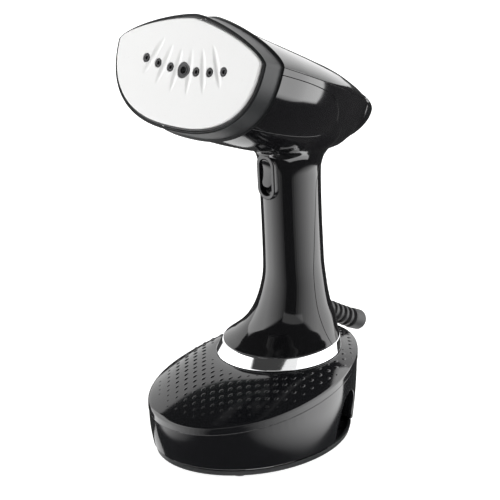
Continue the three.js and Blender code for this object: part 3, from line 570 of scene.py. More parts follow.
def grown_plate(offset):
    grown = {k: PLATE[k] + offset for k in ("width", "top")}
    grown["bottom"] = PLATE["bottom"] - offset
    return {**PLATE, **grown}


def even_angles(shape, count):
    """Angles that space a closed shield outline evenly."""
    angle = np.linspace(0, 2 * math.pi, 2001)
    return spaced(angle, shield(shape, angle), count, True)


FLUTE_SWING = 59.0
FLUTE_CENTRE = HOLE_LOW + FLUTE_SWING
FLUTE_REACH = (46.0, 74.0)
FLUTE_WIDTH, FLUTE_DEPTH = 2.9, 0.8


def plate_face(x, z):
    """The plate's face, with shallow flutes that fan out between the steam holes."""
    away = np.hypot(x, FLUTE_CENTRE - z)
    turn = np.arctan2(x, FLUTE_CENTRE - z)
    middle = sum(FLUTE_REACH) / 2
    ends = np.clip(1 - ((away - middle) / (middle - FLUTE_REACH[0])) ** 2, 0, 1)
    depth = 0
    for k in range(-3, 3):
        across = (turn - (k + 0.5) * HOLE_PITCH / FLUTE_SWING) * away / (FLUTE_WIDTH * np.sqrt(ends + 1e-6))
        depth = depth + np.where(np.abs(across) < 1, np.cos(across * math.pi / 2) ** 2, 0) * ends
    return np.stack([x, FLUTE_DEPTH * depth, z], axis=-1)


EDGE, HOLE_EDGE = 1.0, 0.35
STEAM_HOLES = [(i * HOLE_PITCH, 2.9 if i else 5.0) for i in range(-3, 4)]
STEAM_HOLES = [(x, HOLE_LOW + HOLE_RISE * x * x, radius) for x, radius in STEAM_HOLES]
rim_shape = grown_plate(-EDGE)
plate_loops = [shield(rim_shape, even_angles(rim_shape, 260))]
plate_loops += [circle(radius + HOLE_EDGE, (x, z), 40 if radius > 3 else 28) for x, z, radius in STEAM_HOLES]
skin = Skin(HEAD)
face = Patch(plate_face, plate_loops, (0.85, 0.85))
flip = bool(face.normals[:, 1].mean() > 0)
face.into(skin, flip)
face.roll_into(skin, 0, EDGE, PLATE_THICKNESS, flip)
for number in range(len(STEAM_HOLES)):
    face.roll_into(skin, number + 1, HOLE_EDGE, PLATE_THICKNESS, flip)
skin.build("steam_plate_face", "steamer", "ceramic_plate", "steam_plate")

# Dark sleeves that line the steam holes, each round the end of its tube.
skin = Skin(HEAD)
for x, z, radius in STEAM_HOLES:
    outer, inner = radius - 0.06, (2.3 if radius > 3 else 1.2)
    corners = [(outer, PLATE_THICKNESS), (outer, 0.5), (inner + 0.75, 0.75), (inner + 0.7, 0.3),
               (inner, 0.3), (inner, 6)]
    skin.grid(*revolve(rounded(corners, [0.15, 0.1, 0.2, 0.2]), 32, (x, 0, z), "y"), closed=True)
skin.build("steam_hole_sleeves", "steamer", "cast_alloy", material=SOOT)


def head_section(back):
    """The head's section at distances back, which closes over the nose and squares off less towards it."""
    back = np.clip(back, HEAD_FRONT - 3, NOSE_TIP)
    _, width, top, bottom, shoulder = along(HEAD_STATIONS, back).T
    far = np.clip((back - NOSE_START) / (NOSE_TIP - NOSE_START), 0, 1)
    settle = np.clip((back - HEAD_FRONT) / 90, 0, 1)
    close = np.sqrt(1 - far * far)
    return dict(
        width=width * close, shoulder=shoulder,
        top=shoulder + (top - shoulder) * close, bottom=shoulder - (shoulder - bottom) * close,
        roof=PLATE["roof"] + 0.5 * settle, belly=PLATE["belly"] - 0.35 * settle,
    )


def head_surface(back, angle):
    xz = shield(head_section(back.reshape(-1)), angle.reshape(-1)).reshape(*back.shape, 2)
    return np.stack([xz[..., 0], back, xz[..., 1]], axis=-1)


def bezel_ring(xz, back):
    return np.column_stack([xz[:, 0], np.full(len(xz), back), xz[:, 1]])


bezel_angles = even_angles(PLATE, 280)
bezel_front = {k: float(v[0]) for k, v in head_section(np.array([HEAD_FRONT])).items()}
LIP = [(1.5, 3.8), (1.5, 0.35), (1.62, 0.08), (1.8, 0), (1.98, 0.08), (2.08, 0.35), (2.12, 1.3), (2.3, 1.5),
       (2.48, 1.3), (2.52, 0.95), (2.62, 0.78), (2.8, 0.75)]  # growth of the plate's outline, distance back
rings = [bezel_ring(shield(grown_plate(offset), bezel_angles), BEZEL_FRONT + back) for offset, back in LIP]
side_start, side_end = BEZEL_FRONT + 0.9, BEZEL_BACK - 0.25
start, end = shield(grown_plate(2.95), bezel_angles), shield(bezel_front, bezel_angles)
for t in np.r_[0, np.linspace(0.02, 0.98, 14), 1]:
    rings.append(bezel_ring(start + (end - start) * t, side_start + (side_end - side_start) * t))
rings = np.array(rings)
# These normals face inwards, so the roll at the back edge turns outwards into a narrow lip.
points, normals = with_rolls(rings, -ring_normals(rings, -2), [1], 0.2, 1.5)
round_piece(HEAD, points, normals, "head_bezel_shell", "steamer", "bezel_grey", "head_bezel")


# ---------------- the head's covers

SEAM_EDGE = 0.15
HEAD_STEPS = (0.05, 0.002)


def parting(back):
    return 16.9 - 0.025 * (back - HEAD_FRONT)


def seam_at(back, beside):
    """Angle of the covers' parting line, or of a line some distance above it."""
    s = head_section(np.array([back]))
    above = parting(back) + beside - s["shoulder"]
    share = np.clip(above / np.maximum(s["top"] - s["shoulder"], 1e-9), 0, 1)
    return float(np.arcsin(share ** (s["roof"] / 2))[0])


def angle_below(back, height):
    """Angle of a height below the head's widest line."""
    s = head_section(back)
    share = np.clip((s["shoulder"] - height) / (s["shoulder"] - s["bottom"]), 0, 1)
    return -np.arcsin(share ** (s["belly"] / 2))


def ring_angles(back, start, end, count):
    """Angles that space a stretch of the head's section evenly."""
    dense = np.linspace(start, end, 900)
    return spaced(dense, head_surface(np.full(900, float(back)), dense), count)


def nose_rows(end, count):
    """Distances back from the nose's start, closer together towards their end."""
    return NOSE_START + (end - NOSE_START) * np.sin(np.linspace(0, math.pi / 2, count))


def head_rows(backs, start, end, count):
    """Points and normals of the head at distances back, between two angles for each."""
    rows = np.array([ring_angles(back, start(back), end(back), count) for back in backs])
    return surface_frame(head_surface, backs[:, None] + 0 * rows, rows, *HEAD_STEPS)


def cover_edge(back):
    return seam_at(back, GAP / 2 + SEAM_EDGE)


def cover_gone(back):
    """Whether the head is too low there to reach above the parting line."""
    return head_section(np.array([back]))["top"][0] <= parting(back) + GAP / 2 + SEAM_EDGE


COVER_END = float(halved(NOSE_START, NOSE_TIP, 40, cover_gone)[0])
backs = np.r_[np.linspace(HEAD_FRONT + 0.25, NOSE_START, 90)[:-1], nose_rows(COVER_END, 15)]
points, normals = head_rows(backs, cover_edge, lambda back: math.pi - cover_edge(back), 141)
points, normals = with_rolls(points, normals, [2, 3], SEAM_EDGE, 1.4)
points, normals = with_rolls(points, normals, [0], 0.25, 1.6)
skin = Skin(HEAD)
skin.grid(points, normals)
skin.build("head_top_cover_shell", "steamer", "gloss_black", "head_top_cover")


def inlay_loop(offset, side):
    """Outline of a side inlay on the head's surface, as distance back and angle."""
    front, top, foot, end = HEAD_FRONT + 1.2 - offset, 12.2 + offset, -22 - offset, 112 + offset
    corner = (92 + offset, 7 + offset)
    outline = joined(*(
        bow(*np.array([start, control, stop]), np.linspace(0, 1, count)[:, None])
        for start, control, stop, count in (
            ((front, top), (75, 12.4 + offset), corner, 46),
            (corner, (end, 0), (end, -10), 18),
            ((end, -10), (104, foot), (front, foot), 56),
            ((front, foot), (front, -5), (front, top), 22),
        )
    ))
    angle = angle_below(outline[:, 0], outline[:, 1])
    if side < 0:
        return pairs(outline[:, 0], -math.pi - angle)
    return pairs(outline[:, 0], angle)[::-1]


HEAD_SPACING = (1.7, 0.038)
INLAY_EDGE = 0.18
for side, name in ((1, "right"), (-1, "left")):
    panel = Patch(head_surface, [inlay_loop(-INLAY_EDGE, side)], HEAD_SPACING, HEAD_STEPS)
    skin = Skin(HEAD)
    panel.into(skin)
    panel.roll_into(skin, 0, INLAY_EDGE, 1.1)
    skin.build(f"side_inlay_{name}_panel", "steamer", "gloss_black", f"side_inlay_{name}")


# ---------------- the body shell: lower head and handle

def shell_edge(back):
    """Angle of the body shell's upper edge; past the cover's end the shell closes over the nose."""
    return math.pi / 2 if back >= COVER_END else seam_at(back, -GAP / 2 - SEAM_EDGE)


def shell_start(back):
    return -math.pi - shell_edge(back)


NOSE_JOIN = 128.0
join_angles = ring_angles(NOSE_JOIN, shell_start(NOSE_JOIN), shell_edge(NOSE_JOIN), 131)
backs = np.linspace(HEAD_FRONT + 0.25, NOSE_JOIN, 66)
edges = np.array([shell_edge(back) for back in backs])
front_angles = ring_angles(backs[0], -math.pi - edges[0], edges[0], 190)
outline = joined(
    pairs(backs, -math.pi - edges), pairs(NOSE_JOIN, join_angles),
    pairs(backs, edges)[::-1], pairs(backs[0], front_angles)[::-1],
)
holes = [inlay_loop(GAP + INLAY_EDGE, 1), inlay_loop(GAP + INLAY_EDGE, -1)]
shell = Patch(head_surface, [outline] + holes, HEAD_SPACING, HEAD_STEPS)
skin = Skin(HEAD)
shell.into(skin)
rounding = np.where(outline[:, 0] > NOSE_JOIN - 0.01, 0.0, 1.0)
shell.roll_into(skin, 0, SEAM_EDGE * rounding, 1.4 * rounding)
for number in (1, 2):
    shell.roll_into(skin, number, INLAY_EDGE, 1.4)
backs = np.r_[np.linspace(NOSE_JOIN, NOSE_START, 22)[:-1], nose_rows(NOSE_TIP, 20)[:-1], NOSE_TIP - 0.01]
points, normals = head_rows(backs, shell_start, shell_edge, 131)
open_rows = (backs < COVER_END - 0.5).astype(float)
skin.grid(*with_rolls(points, normals, [2, 3], SEAM_EDGE * open_rows, 1.4 * open_rows))


def handle_section(height):
    """Half width, half depth and shift of the handle's section at heights."""
    return along(HANDLE_STATIONS, height.reshape(-1)).T.reshape(4, *height.shape)[1:]


def handle_surface(angle, height):
    width, depth, shift = handle_section(height)
    return np.stack([width * np.cos(angle), shift + depth * np.sin(angle), height], axis=-1)


def head_value(points):
    """Below zero inside the head: points in the world's frame."""
    inside = HEAD.inside(points)
    s = head_section(inside[:, 1])
    upper = inside[:, 2] >= s["shoulder"]
    square = np.where(upper, s["roof"], s["belly"])
    height = np.where(upper, s["top"] - s["shoulder"], s["shoulder"] - s["bottom"])
    across = np.abs(inside[:, 0]) / np.maximum(s["width"], 1e-6)
    rise = np.abs(inside[:, 2] - s["shoulder"]) / np.maximum(height, 1e-6)
    value = across ** square + rise ** square - 1
    return np.where(inside[:, 1] > NOSE_TIP - 0.01, 9.0, value)


def head_slope(points):
    steps = np.eye(3) * 0.01
    return np.column_stack([head_value(points + step) - head_value(points - step) for step in steps]) / 0.02


def meeting_height(angle):
    """Height at which the handle's surface enters the head, for each angle."""
    def entered(height):
        return head_value(HANDLE.out(handle_surface(angle, height))) < 0

    heights = np.arange(100, 140.01, 0.5)
    points = HANDLE.out(handle_surface(np.repeat(angle, len(heights)), np.tile(heights, len(angle))))
    inside = head_value(points).reshape(len(angle), -1) < 0
    first = np.where(inside.any(axis=1), inside.argmax(axis=1), len(heights) - 1)
    return halved(heights[np.maximum(first - 1, 0)], heights[first], 24, entered)[1]


def seam_angle(height, beside):
    """Angle of the rear cover's seam at a height, moved towards the front."""
    y = np.interp(height, REAR_SEAM[:, 0], REAR_SEAM[:, 1]) - beside
    _, depth, shift = handle_section(height)
    return np.arcsin(np.clip((y - shift) / depth, -1, 1))


def handle_heights(top, counts):
    """Heights from the handle's foot to a top, closer together where the handle flares."""
    stops = (SHELL_FOOT, 24, 104, top)
    parts = [np.linspace(*stops[k:k + 2], counts[k]) for k in range(3)]
    return np.r_[parts[0][:-1], parts[1][:-1], parts[2]]


HANDLE_STEPS = (0.002, 0.05)
COVER_TOP = 123.5
SHELL_STEP = COVER_TOP + GAP + SEAM_EDGE
SHELL_FOOT = RING_TOP["height"] + GAP + 0.2
FILLET, FILLET_ENDS = 5.5, 0.18
heights = handle_heights(SHELL_STEP, (18, 42, 18))
edge = seam_angle(heights, GAP + SEAM_EDGE)
angles = (math.pi - edge)[:, None] + (math.pi + 2 * edge)[:, None] * np.linspace(0, 1, 121)
points, normals = surface_frame(handle_surface, angles, heights[:, None] + 0 * angles, *HANDLE_STEPS)
# The trigger housing stands in an opening, whose edge lies behind the housing's flange.
middle = (points[1:, 1:] + points[:-1, :-1]) / 2
straight = TRIGGER["half_height"] - TRIGGER["half_width"]
reach = np.hypot(middle[..., 0], np.maximum(np.abs(middle[..., 2] - TRIGGER["height"]) - straight, 0))
keep = (reach > TRIGGER["half_width"] - 1.6) | (middle[..., 1] > 0)
sides, side_normals = with_rolls(points, normals, [2, 3], SEAM_EDGE, 1.4)
added = (sides.shape[1] - points.shape[1]) // 2
skin.place = HANDLE
skin.grid(sides, side_normals, keep=np.pad(keep, ((0, 0), (added, added)), constant_values=True))
foot_points, foot_normals = with_rolls(points[:2], normals[:2], [0], 0.2, 1.4)
skin.grid(foot_points[:5], foot_normals[:5])

# Above the rear cover the shell runs up to the head. Its sides and front turn out into it in a fillet.
skin.place = WORLD
top_edge = float(edge[-1])
for start, sweep, count, fillet in (
    (math.pi - top_edge, math.pi + 2 * top_edge, 121, FILLET),
    (top_edge, math.pi - 2 * top_edge, 41, 0),
):
    share = np.linspace(0, 1, count)
    angle = start + sweep * share
    top = np.maximum(meeting_height(angle), SHELL_STEP)
    size = np.minimum(fillet * smooth_step(np.minimum(share, 1 - share) / FILLET_ENDS), top - SHELL_STEP)
    height = SHELL_STEP + (top - size - SHELL_STEP) * np.linspace(0, 1, 9)[:, None]
    points, normals = surface_frame(handle_surface, angle + 0 * height, height, *HANDLE_STEPS)
    points, normals = HANDLE.out(points), HANDLE.way(normals)
    if fillet:
        corner = HANDLE.out(handle_surface(angle, top))
        out, facing = normals[-1], unit(head_slope(corner))
        landing = corner + unit(out - facing * (out * facing).sum(-1, keepdims=True)) * size[:, None]
        for _ in range(4):
            slope = head_slope(landing)
            landing = landing - slope * (head_value(landing) / (slope ** 2).sum(-1))[:, None]
        t = np.linspace(0, 1, 10)[1:, None, None]
        turned = unit((1 - t) * out + t * unit(head_slope(landing)))
        points = np.vstack([points, bow(points[-1], corner, landing, t)])
        normals = np.vstack([normals, np.where(size[:, None] > 0, turned, out)])
    skin.grid(points, normals)
skin.build("body_shell_skin", "steamer", "gloss_black", "body_shell")


# ---------------- the handle's rear cover

def bore_loop(origin, way, radius, count):
    """Where a bore along a line leaves the handle's rear, as angle and height; all in the handle's frame."""
    way, turn = unit(np.asarray(way, float)), turns(count)[:, None]
    sideways = unit(np.cross(way, (1.0, 0.0, 0.0)))
    start = np.asarray(origin, float) + radius * (np.cos(turn) * [1.0, 0.0, 0.0] + np.sin(turn) * sideways)

    def shares(distance):
        """How far out in the handle's section the bore's lines are, in x and y, and their heights."""
        at = start + way * distance[:, None]
        width, depth, shift = handle_section(at[:, 2])
        return at[:, 0] / width, (at[:, 1] - shift) / depth, at[:, 2]

    def outside(distance):
        x, y, _ = shares(distance)
        return x ** 2 + y ** 2 > 1

    x, y, z = shares(halved(np.zeros(count), np.full(count, 60.0), 40, outside)[1])
    return ccw(pairs(np.arctan2(y, x), z))


COVER_EDGE = 0.18
heights = handle_heights(COVER_TOP - COVER_EDGE, (16, 52, 16))
side = seam_angle(heights, -COVER_EDGE)
outline = joined(
    pairs(np.linspace(side[0], math.pi - side[0], 70), SHELL_FOOT), pairs(math.pi - side, heights),
    pairs(np.linspace(math.pi - side[-1], side[-1], 30), COVER_TOP - COVER_EDGE), pairs(side, heights)[::-1],
)
SCREW_X, SCREW_HEIGHTS, SCREW_SEAT = -11.0, (20.0, 95.0), 10.4
COUNTERBORE, SCREW_HOLE = 3.2, 1.6
neck_start = HANDLE.inside(np.array([0, 50, 81.4]))
neck_way = np.array([0, 20.0, -7.6]) @ HANDLE.turn
holes = [bore_loop(neck_start, neck_way, NECK_RADIUS + GAP + COVER_EDGE, 40)]
holes += [bore_loop((SCREW_X, 0, h), (0, 1, 0), COUNTERBORE + COVER_EDGE, 26) for h in SCREW_HEIGHTS]


def counterbore_foot(ring):
    return np.column_stack([ring[:, 0], np.full(len(ring), SCREW_SEAT), ring[:, 2]])


cover = Patch(handle_surface, [outline] + holes, (0.075, 1.7), HANDLE_STEPS)
skin = Skin(HANDLE)
cover.into(skin)
cover.roll_into(skin, 0, COVER_EDGE, 1.3)
cover.roll_into(skin, 1, COVER_EDGE, 1.6)
seat = [(COUNTERBORE + 0.2, SCREW_SEAT), (SCREW_HOLE, SCREW_SEAT), (SCREW_HOLE, SCREW_SEAT - 2)]
for number, height in zip((2, 3), SCREW_HEIGHTS):
    cover.roll_into(skin, number, COVER_EDGE, 5, floor=counterbore_foot)
    skin.grid(*revolve(rounded(seat, 0.15), 26, (SCREW_X, 0, height), "y"), closed=True)
skin.build("handle_rear_cover_shell", "steamer", "gloss_black", "handle_rear_cover")


# ---------------- trigger

def housing_front(x, z):
    return np.stack([x, TRIGGER["front"] + 0 * x, z], axis=-1)


LIP_ROUND, MOUTH_EDGE, MOUTH_HEIGHT = 1.0, 0.3, 12.5
mouth = BUTTON["half_width"] + GAP
face_width, face_height = TRIGGER["half_width"] - LIP_ROUND, TRIGGER["half_height"] - LIP_ROUND
front = Patch(housing_front, [
    ccw(stadium(face_width, face_height, TRIGGER["height"], 26)),
    ccw(stadium(mouth + MOUTH_EDGE, MOUTH_HEIGHT + MOUTH_EDGE, TRIGGER["height"] - 0.1, 22)),
], (0.9, 0.9))
skin = Skin(HANDLE)
front.into(skin)
points, normals, outward = front.edge(0)
HOUSING_SIDE = [
    (0.0, 0.0, 0), (0.5, 0.13, 30), (0.87, 0.5, 60), (1.0, 1.0, 90), (1.0, 1.75, 90), (0.72, 1.85, 90),
    (0.72, 2.1, 90), (1.0, 2.2, 90), (1.0, TRIGGER["back"] + 1.2, 90),
]  # the rounded lip and the parting groove: share of the lip outwards, depth, turn of the normal
rings = [points + outward * LIP_ROUND * out - normals * drop for out, drop, _ in HOUSING_SIDE]
leans = [math.radians(lean) for _, _, lean in HOUSING_SIDE]
ways = [normals * math.cos(lean) + outward * math.sin(lean) for lean in leans]
skin.grid(np.array(rings), np.array(ways), closed=True)
front.roll_into(skin, 1, MOUTH_EDGE, 6.8)
SCOOP_RADIUS, SCOOP_HEIGHT, SCOOP_TOP = 6.2, TRIGGER["height"] - 9.5, 106.2


def scoop_floor(x, z):
    """The finger scoop below the button, a trough across the housing."""
    drop = np.sqrt(np.maximum(SCOOP_RADIUS ** 2 - (z - SCOOP_HEIGHT) ** 2, 4)) - 1.4
    return np.stack([x, TRIGGER["front"] + drop - 0.02 * x * x, z], axis=-1)


arc = np.linspace(math.pi, 2 * math.pi, 26)
lowest = TRIGGER["height"] - 12.6 + mouth
half_disc = pairs(mouth * np.cos(arc), lowest + mouth * np.sin(arc))
scoop_loop = np.vstack([half_disc, pairs([mouth, 0, -mouth], SCOOP_TOP)])
Patch(scoop_floor, [scoop_loop], (0.8, 0.8)).into(skin)
skin.build("trigger_housing_shell", "steamer", "tank_black", "trigger_housing")

BUTTON_EDGE, SADDLE_RADIUS, SADDLE_RISE = 0.6, 30.0, 28.8


def saddle(x, z):
    dip = np.sqrt(SADDLE_RADIUS ** 2 - (z - BUTTON["height"]) ** 2) - SADDLE_RISE
    return np.stack([x, BUTTON["front"] + np.maximum(dip, 0) + 0.012 * x * x, z], axis=-1)


inner_width, inner_height = BUTTON["half_width"] - BUTTON_EDGE, BUTTON["half_height"] - BUTTON_EDGE
button = Patch(saddle, [ccw(stadium(inner_width, inner_height, BUTTON["height"], 22))], (0.7, 0.7))
skin = Skin(HANDLE)
button.into(skin)
button.roll_into(skin, 0, BUTTON_EDGE, 5.0)
skin.build("trigger_button_cap", "trigger", "tank_black", "trigger_button")


# ---------------- trim ring

def ring_at(inset, height):
    """A circle of the trim ring's cone, whose centre and radius shift with height."""
    share = (height - RING_FOOT["height"]) / (RING_TOP["height"] - RING_FOOT["height"])
    radius, middle = (RING_FOOT[k] + (RING_TOP[k] - RING_FOOT[k]) * share for k in ("radius", "centre"))
    return np.column_stack([circle(radius - inset, (0, middle), 180), np.full(180, height)])


RING_INSIDE = 3.6
low, high = RING_FOOT["height"], RING_TOP["height"]
profile = rounded([(RING_INSIDE, low), (0, low), (0, high), (RING_INSIDE, high)], 0.7, 5)
rings = np.array([ring_at(inset, height) for inset, height in profile])
round_piece(HANDLE, rings, ring_normals(rings, 6), "trim_ring_band", "steamer", "chrome_trim", "trim_ring")


# ---------------- strain relief

lengths = travelled(RELIEF_PATH)
relief_stations = np.column_stack([lengths, RELIEF_PATH])
relief_end = lengths[-1]
FLANGE_RADIUS, WAIST_RADIUS, CORD_BORE = 6.2, 4.9, 4.0
corners = [(0, FLANGE_RADIUS), (1.4, FLANGE_RADIUS), (1.7, NECK_RADIUS), (13.6, NECK_RADIUS)]
for rib in range(5):
    start, radius = (0.255 + rib * 0.103) * relief_end, 6.3 + rib * 0.15
    corners += [(start, WAIST_RADIUS), (start + 0.7, radius)]
    corners += [(start + 3.2, radius), (start + 3.9, WAIST_RADIUS)]
corners += [
    (relief_end * 0.775, WAIST_RADIUS), (relief_end * 0.79, 6.9), (relief_end * 0.82, 7.2),
    (relief_end * 0.97, 7.1), (relief_end, 6.2), (relief_end, CORD_BORE), (relief_end - 8, CORD_BORE),
]
rings, angle = [], turns(40)
for place, radius in rounded(corners, 0.45, 3):
    _, y, z = along(relief_stations, min(place, relief_end - 1e-6))[0]
    behind, ahead = along(relief_stations, np.clip([place - 0.05, place + 0.05], 0, relief_end))
    way = unit((ahead - behind)[1:])
    across, rise = radius * np.cos(angle), radius * np.sin(angle)
    rings.append(np.column_stack([across, y - rise * way[1], z + rise * way[0]]))
rings = np.array(rings)
round_piece(
    WORLD, rings, ring_normals(rings, 9), "strain_relief_sleeve", "steamer", "black_rubber", "strain_relief")


# ---------------- tank cover

def tank_ring(width, length, height, rise, angle):
    y = length * np.sin(angle)
    return np.stack([width * np.cos(angle) * (1 + TANK_EGG * np.sin(angle)), y, height + rise * y], axis=-1)


SEAT_RADIUS, SEAT_HEIGHT = RING_FOOT["radius"] + 0.6, RING_FOOT["height"] - GAP
DOME_POWER = 1.45


def seat_point(angle, radius, height=SEAT_HEIGHT):
    x, y = radius * np.cos(angle), RING_FOOT["centre"] + radius * np.sin(angle)
    return HANDLE.out(np.stack([x, y, height + 0 * angle], axis=-1))


def cover_top(share, angle):
    """The cover's dome from the rim at 0 to the seat at 1."""
    share = share[..., None]
    rim = tank_ring(TANK_RIM["width"], TANK_RIM["length"], TANK_RIM["height"], RIM_RISE, angle)
    seat = seat_point(angle, SEAT_RADIUS)
    between = rim + (seat - rim) * share
    between[..., 2] = (rim + (seat - rim) * (1 - (1 - share) ** DOME_POWER))[..., 2]
    return between


angle = turns(300)
rim_line = tank_ring(TANK_RIM["width"], TANK_RIM["length"], TANK_RIM["height"], RIM_RISE, angle)
RIM_ROUND, RIM_SHARE, SEAM_INSET = 1.3, 0.045, 0.35
rows = [rim_line - [0, 0, drop] for drop in np.linspace(RIM_BAND - GAP - SEAM_INSET, RIM_ROUND, 5)]
start, end = rows[-1], cover_top(np.full(300, RIM_SHARE), angle)
rows += [bow(start, rim_line, end, t) for t in np.linspace(0, 1, 7)[1:]]
rows += [cover_top(np.full(300, share), angle) for share in np.linspace(RIM_SHARE, 1, 44)[1:]]
WELL_RADIUS, WELL_DEPTH, WELL_HOLE = 19.6, 12.2, 6.3
well = [(SEAT_RADIUS, 0), (WELL_RADIUS, 0), (WELL_RADIUS, -WELL_DEPTH), (WELL_HOLE, -WELL_DEPTH),
        (WELL_HOLE, -WELL_DEPTH - 3)]
well = rounded(well, [0.8, 0.6, 0.4])
rows += [seat_point(angle, radius, SEAT_HEIGHT + drop) for radius, drop in well[1:]]
rings = np.array(rows)
points, normals = with_rolls(rings, ring_normals(rings, 2), [0], SEAM_INSET, 1.6)
round_piece(WORLD, points, normals, "tank_cover_shell", "tank", "tank_black", "tank_cover")

# Raised dots in staggered rows, which shrink towards the rim.
DOT_PITCH, DOT_LENGTH, DOT_WIDTH, DOT_HEIGHT, DOT_SUNK = 4.1, 3.9, 2.2, 0.55, 0.03
DOT_BAND = (0.08, 0.86)
shares, angles = np.meshgrid(np.linspace(0, 1, 160), np.linspace(0, 2 * math.pi, 900), indexing="ij")
table = cover_top(shares, angles).reshape(-1, 3)
skin = Skin()
around = turns(12)[:, None]
for i in range(-16, 17):
    for j in range(-22, 22):
        away = table[:, :2] - [i * DOT_PITCH, j * DOT_PITCH]
        k = int((away ** 2).sum(axis=1).argmin())
        out = 1 - shares.flat[k]
        if (i + j) % 2 or np.hypot(*away[k]) > 0.8 or not DOT_BAND[0] < out < DOT_BAND[1]:
            continue
        place = np.array([shares.flat[k]]), np.array([angles.flat[k]])
        (near,), (normal,) = surface_frame(cover_top, *place, 0.003, 0.003)
        normal = normal if normal[2] > 0 else -normal
        rise = away[k] @ normal[:2] / normal[2]
        spot = near + np.array([-away[k][0], -away[k][1], rise])
        size = 0.5 + 0.5 * (1 - smooth_step((out - 0.5) / 0.38))
        size *= 0.55 + 0.45 * smooth_step((out - DOT_BAND[0]) / 0.12)
        long = unit(np.array([0.1, 1.0, 0]) - normal * (0.1 * normal[0] + normal[1]))
        long, wide = np.cos(around) * long, np.sin(around) * np.cross(normal, long)
        rings, ways = [], []
        for lean in (0.0, 0.45, 0.9, 1.3, 1.57):
            flat, rise = math.cos(lean), math.sin(lean)
            oval = (long * DOT_LENGTH + wide * DOT_WIDTH) * flat * size / 2
            rings.append(spot + oval + normal * (DOT_HEIGHT * size * rise - DOT_SUNK))
            outward = (long / DOT_LENGTH + wide / DOT_WIDTH) * 2 * flat
            ways.append(unit(outward + normal * rise / (DOT_HEIGHT * size)))
        skin.grid(np.array(rings), np.array(ways), closed=True)
skin.build("tank_cover_dots", "tank", "tank_black")


# ---------------- tank body

FOOT_ROUND = 1.3
ROUND_LENGTH = math.pi * FOOT_ROUND / 2
BODY_TOP = TANK_RIM["height"] - RIM_BAND
BODY_RISE = BODY_TOP - TANK_FOOT["height"]
BODY_END = ROUND_LENGTH + BODY_RISE - FOOT_ROUND - SEAM_INSET


def body_section(v, inset=0.0):
    """Half width, half length, height before the rise and share of it, a distance up the tank's side."""
    bend = np.clip(v, 0, ROUND_LENGTH) / FOOT_ROUND
    height = FOOT_ROUND * (1 - np.cos(bend)) + np.maximum(v - ROUND_LENGTH, 0)
    share = height / BODY_RISE
    swell = 0.7 * np.sin(math.pi * np.clip(share, 0, 1)) - inset - FOOT_ROUND * (1 - np.sin(bend))
    width = TANK_FOOT["width"] + (TANK_RIM["width"] - 0.4 - TANK_FOOT["width"]) * share + swell
    length = TANK_FOOT["length"] + (TANK_RIM["length"] - 0.4 - TANK_FOOT["length"]) * share + swell
    return width, length, TANK_FOOT["height"] + height, share


def tank_side(angle, v):
    width, length, height, share = body_section(v)
    return tank_ring(width, length, height, RIM_RISE * share, angle)


def up_side(y, z):
    """Distance up the tank's side of a height z at a place y."""
    rise = (z - TANK_FOOT["height"]) / (1 + RIM_RISE * y / BODY_RISE)
    on_round = FOOT_ROUND * np.arccos(np.clip(1 - rise / FOOT_ROUND, -1, 1))
    return np.where(rise < FOOT_ROUND, on_round, rise - FOOT_ROUND + ROUND_LENGTH)


ARCH_EDGE = 0.6
lift = math.asin(TANK_FOOT["height"] / (RECESS["top"] + ARCH_EDGE))
arc = np.linspace(math.pi - lift, lift, 70)
arch_y = RECESS["middle"] + (RECESS["half_width"] + ARCH_EDGE) * np.cos(arc)
arch_v = up_side(arch_y, (RECESS["top"] + ARCH_EDGE) * np.sin(arc))
right_arch = pairs(np.arcsin(np.clip(arch_y / body_section(arch_v)[1], -1, 1)), arch_v)
left_arch = pairs(math.pi - right_arch[::-1, 0], right_arch[::-1, 1])


def foot_line(start, end):
    """The points between two angles along the tank's foot."""
    return pairs(np.linspace(start, end, max(3, int(abs(end - start) / 0.024)))[1:-1], 0.0)


front, back_again = -math.pi / 2, 1.5 * math.pi
seam = np.linspace(0, BODY_END, 26)[1:-1]
parts = [
    np.array([[front, 0.0]]), foot_line(front, right_arch[0, 0]), right_arch,
    foot_line(right_arch[-1, 0], left_arch[0, 0]), left_arch,
    foot_line(left_arch[-1, 0], back_again), np.array([[back_again, 0.0]]), pairs(back_again, seam),
    pairs(np.linspace(back_again, front, 262), BODY_END), pairs(front, seam[::-1]),
]
starts = np.cumsum([0] + [len(p) for p in parts])
RIGHT_ARCH, LEFT_ARCH, TOP = 2, 4, 8
hole_x, hole_z = circle(FILLER["radius"] + GAP + 0.2, (0, FILLER["height"]), 40).T
hole_y = np.full(40, FILLER["face"])
for _ in range(6):
    hole_v = up_side(hole_y, hole_z)
    width, length, _, _ = body_section(hole_v)
    hole_angle = math.pi / 2 - np.arcsin(hole_x / (width * (1 + TANK_EGG)))
    hole_y = length * np.sin(hole_angle)
filler_loop = ccw(pairs(hole_angle, hole_v))
body = Patch(tank_side, [np.vstack(parts), filler_loop], (0.025, 1.5), (0.002, 0.02))
skin = Skin()
body.into(skin)
body.roll_into(skin, 1, 0.2, 3.5)
edge_points, edge_normals, edge_outward = body.edge(0)
rim = slice(starts[TOP], starts[TOP + 1])
upwards = edge_outward[rim] * 0 + [0, 0, 1.0]
rings, ways = rolled(edge_points[rim], edge_normals[rim], upwards, SEAM_INSET, 1.6)
skin.grid(np.array([edge_points[rim]] + rings), np.array([edge_normals[rim]] + ways))


def recess_floor(y, z):
    """The back of a finger recess, an even depth inside the tank's side."""
    width, length, _, _ = body_section(np.maximum(up_side(y, z), ROUND_LENGTH), RECESS["depth"])
    sine = np.clip(y / length, -1, 1)
    return np.stack([width * np.sqrt(1 - sine ** 2) * (1 + TANK_EGG * sine), y, z], axis=-1)


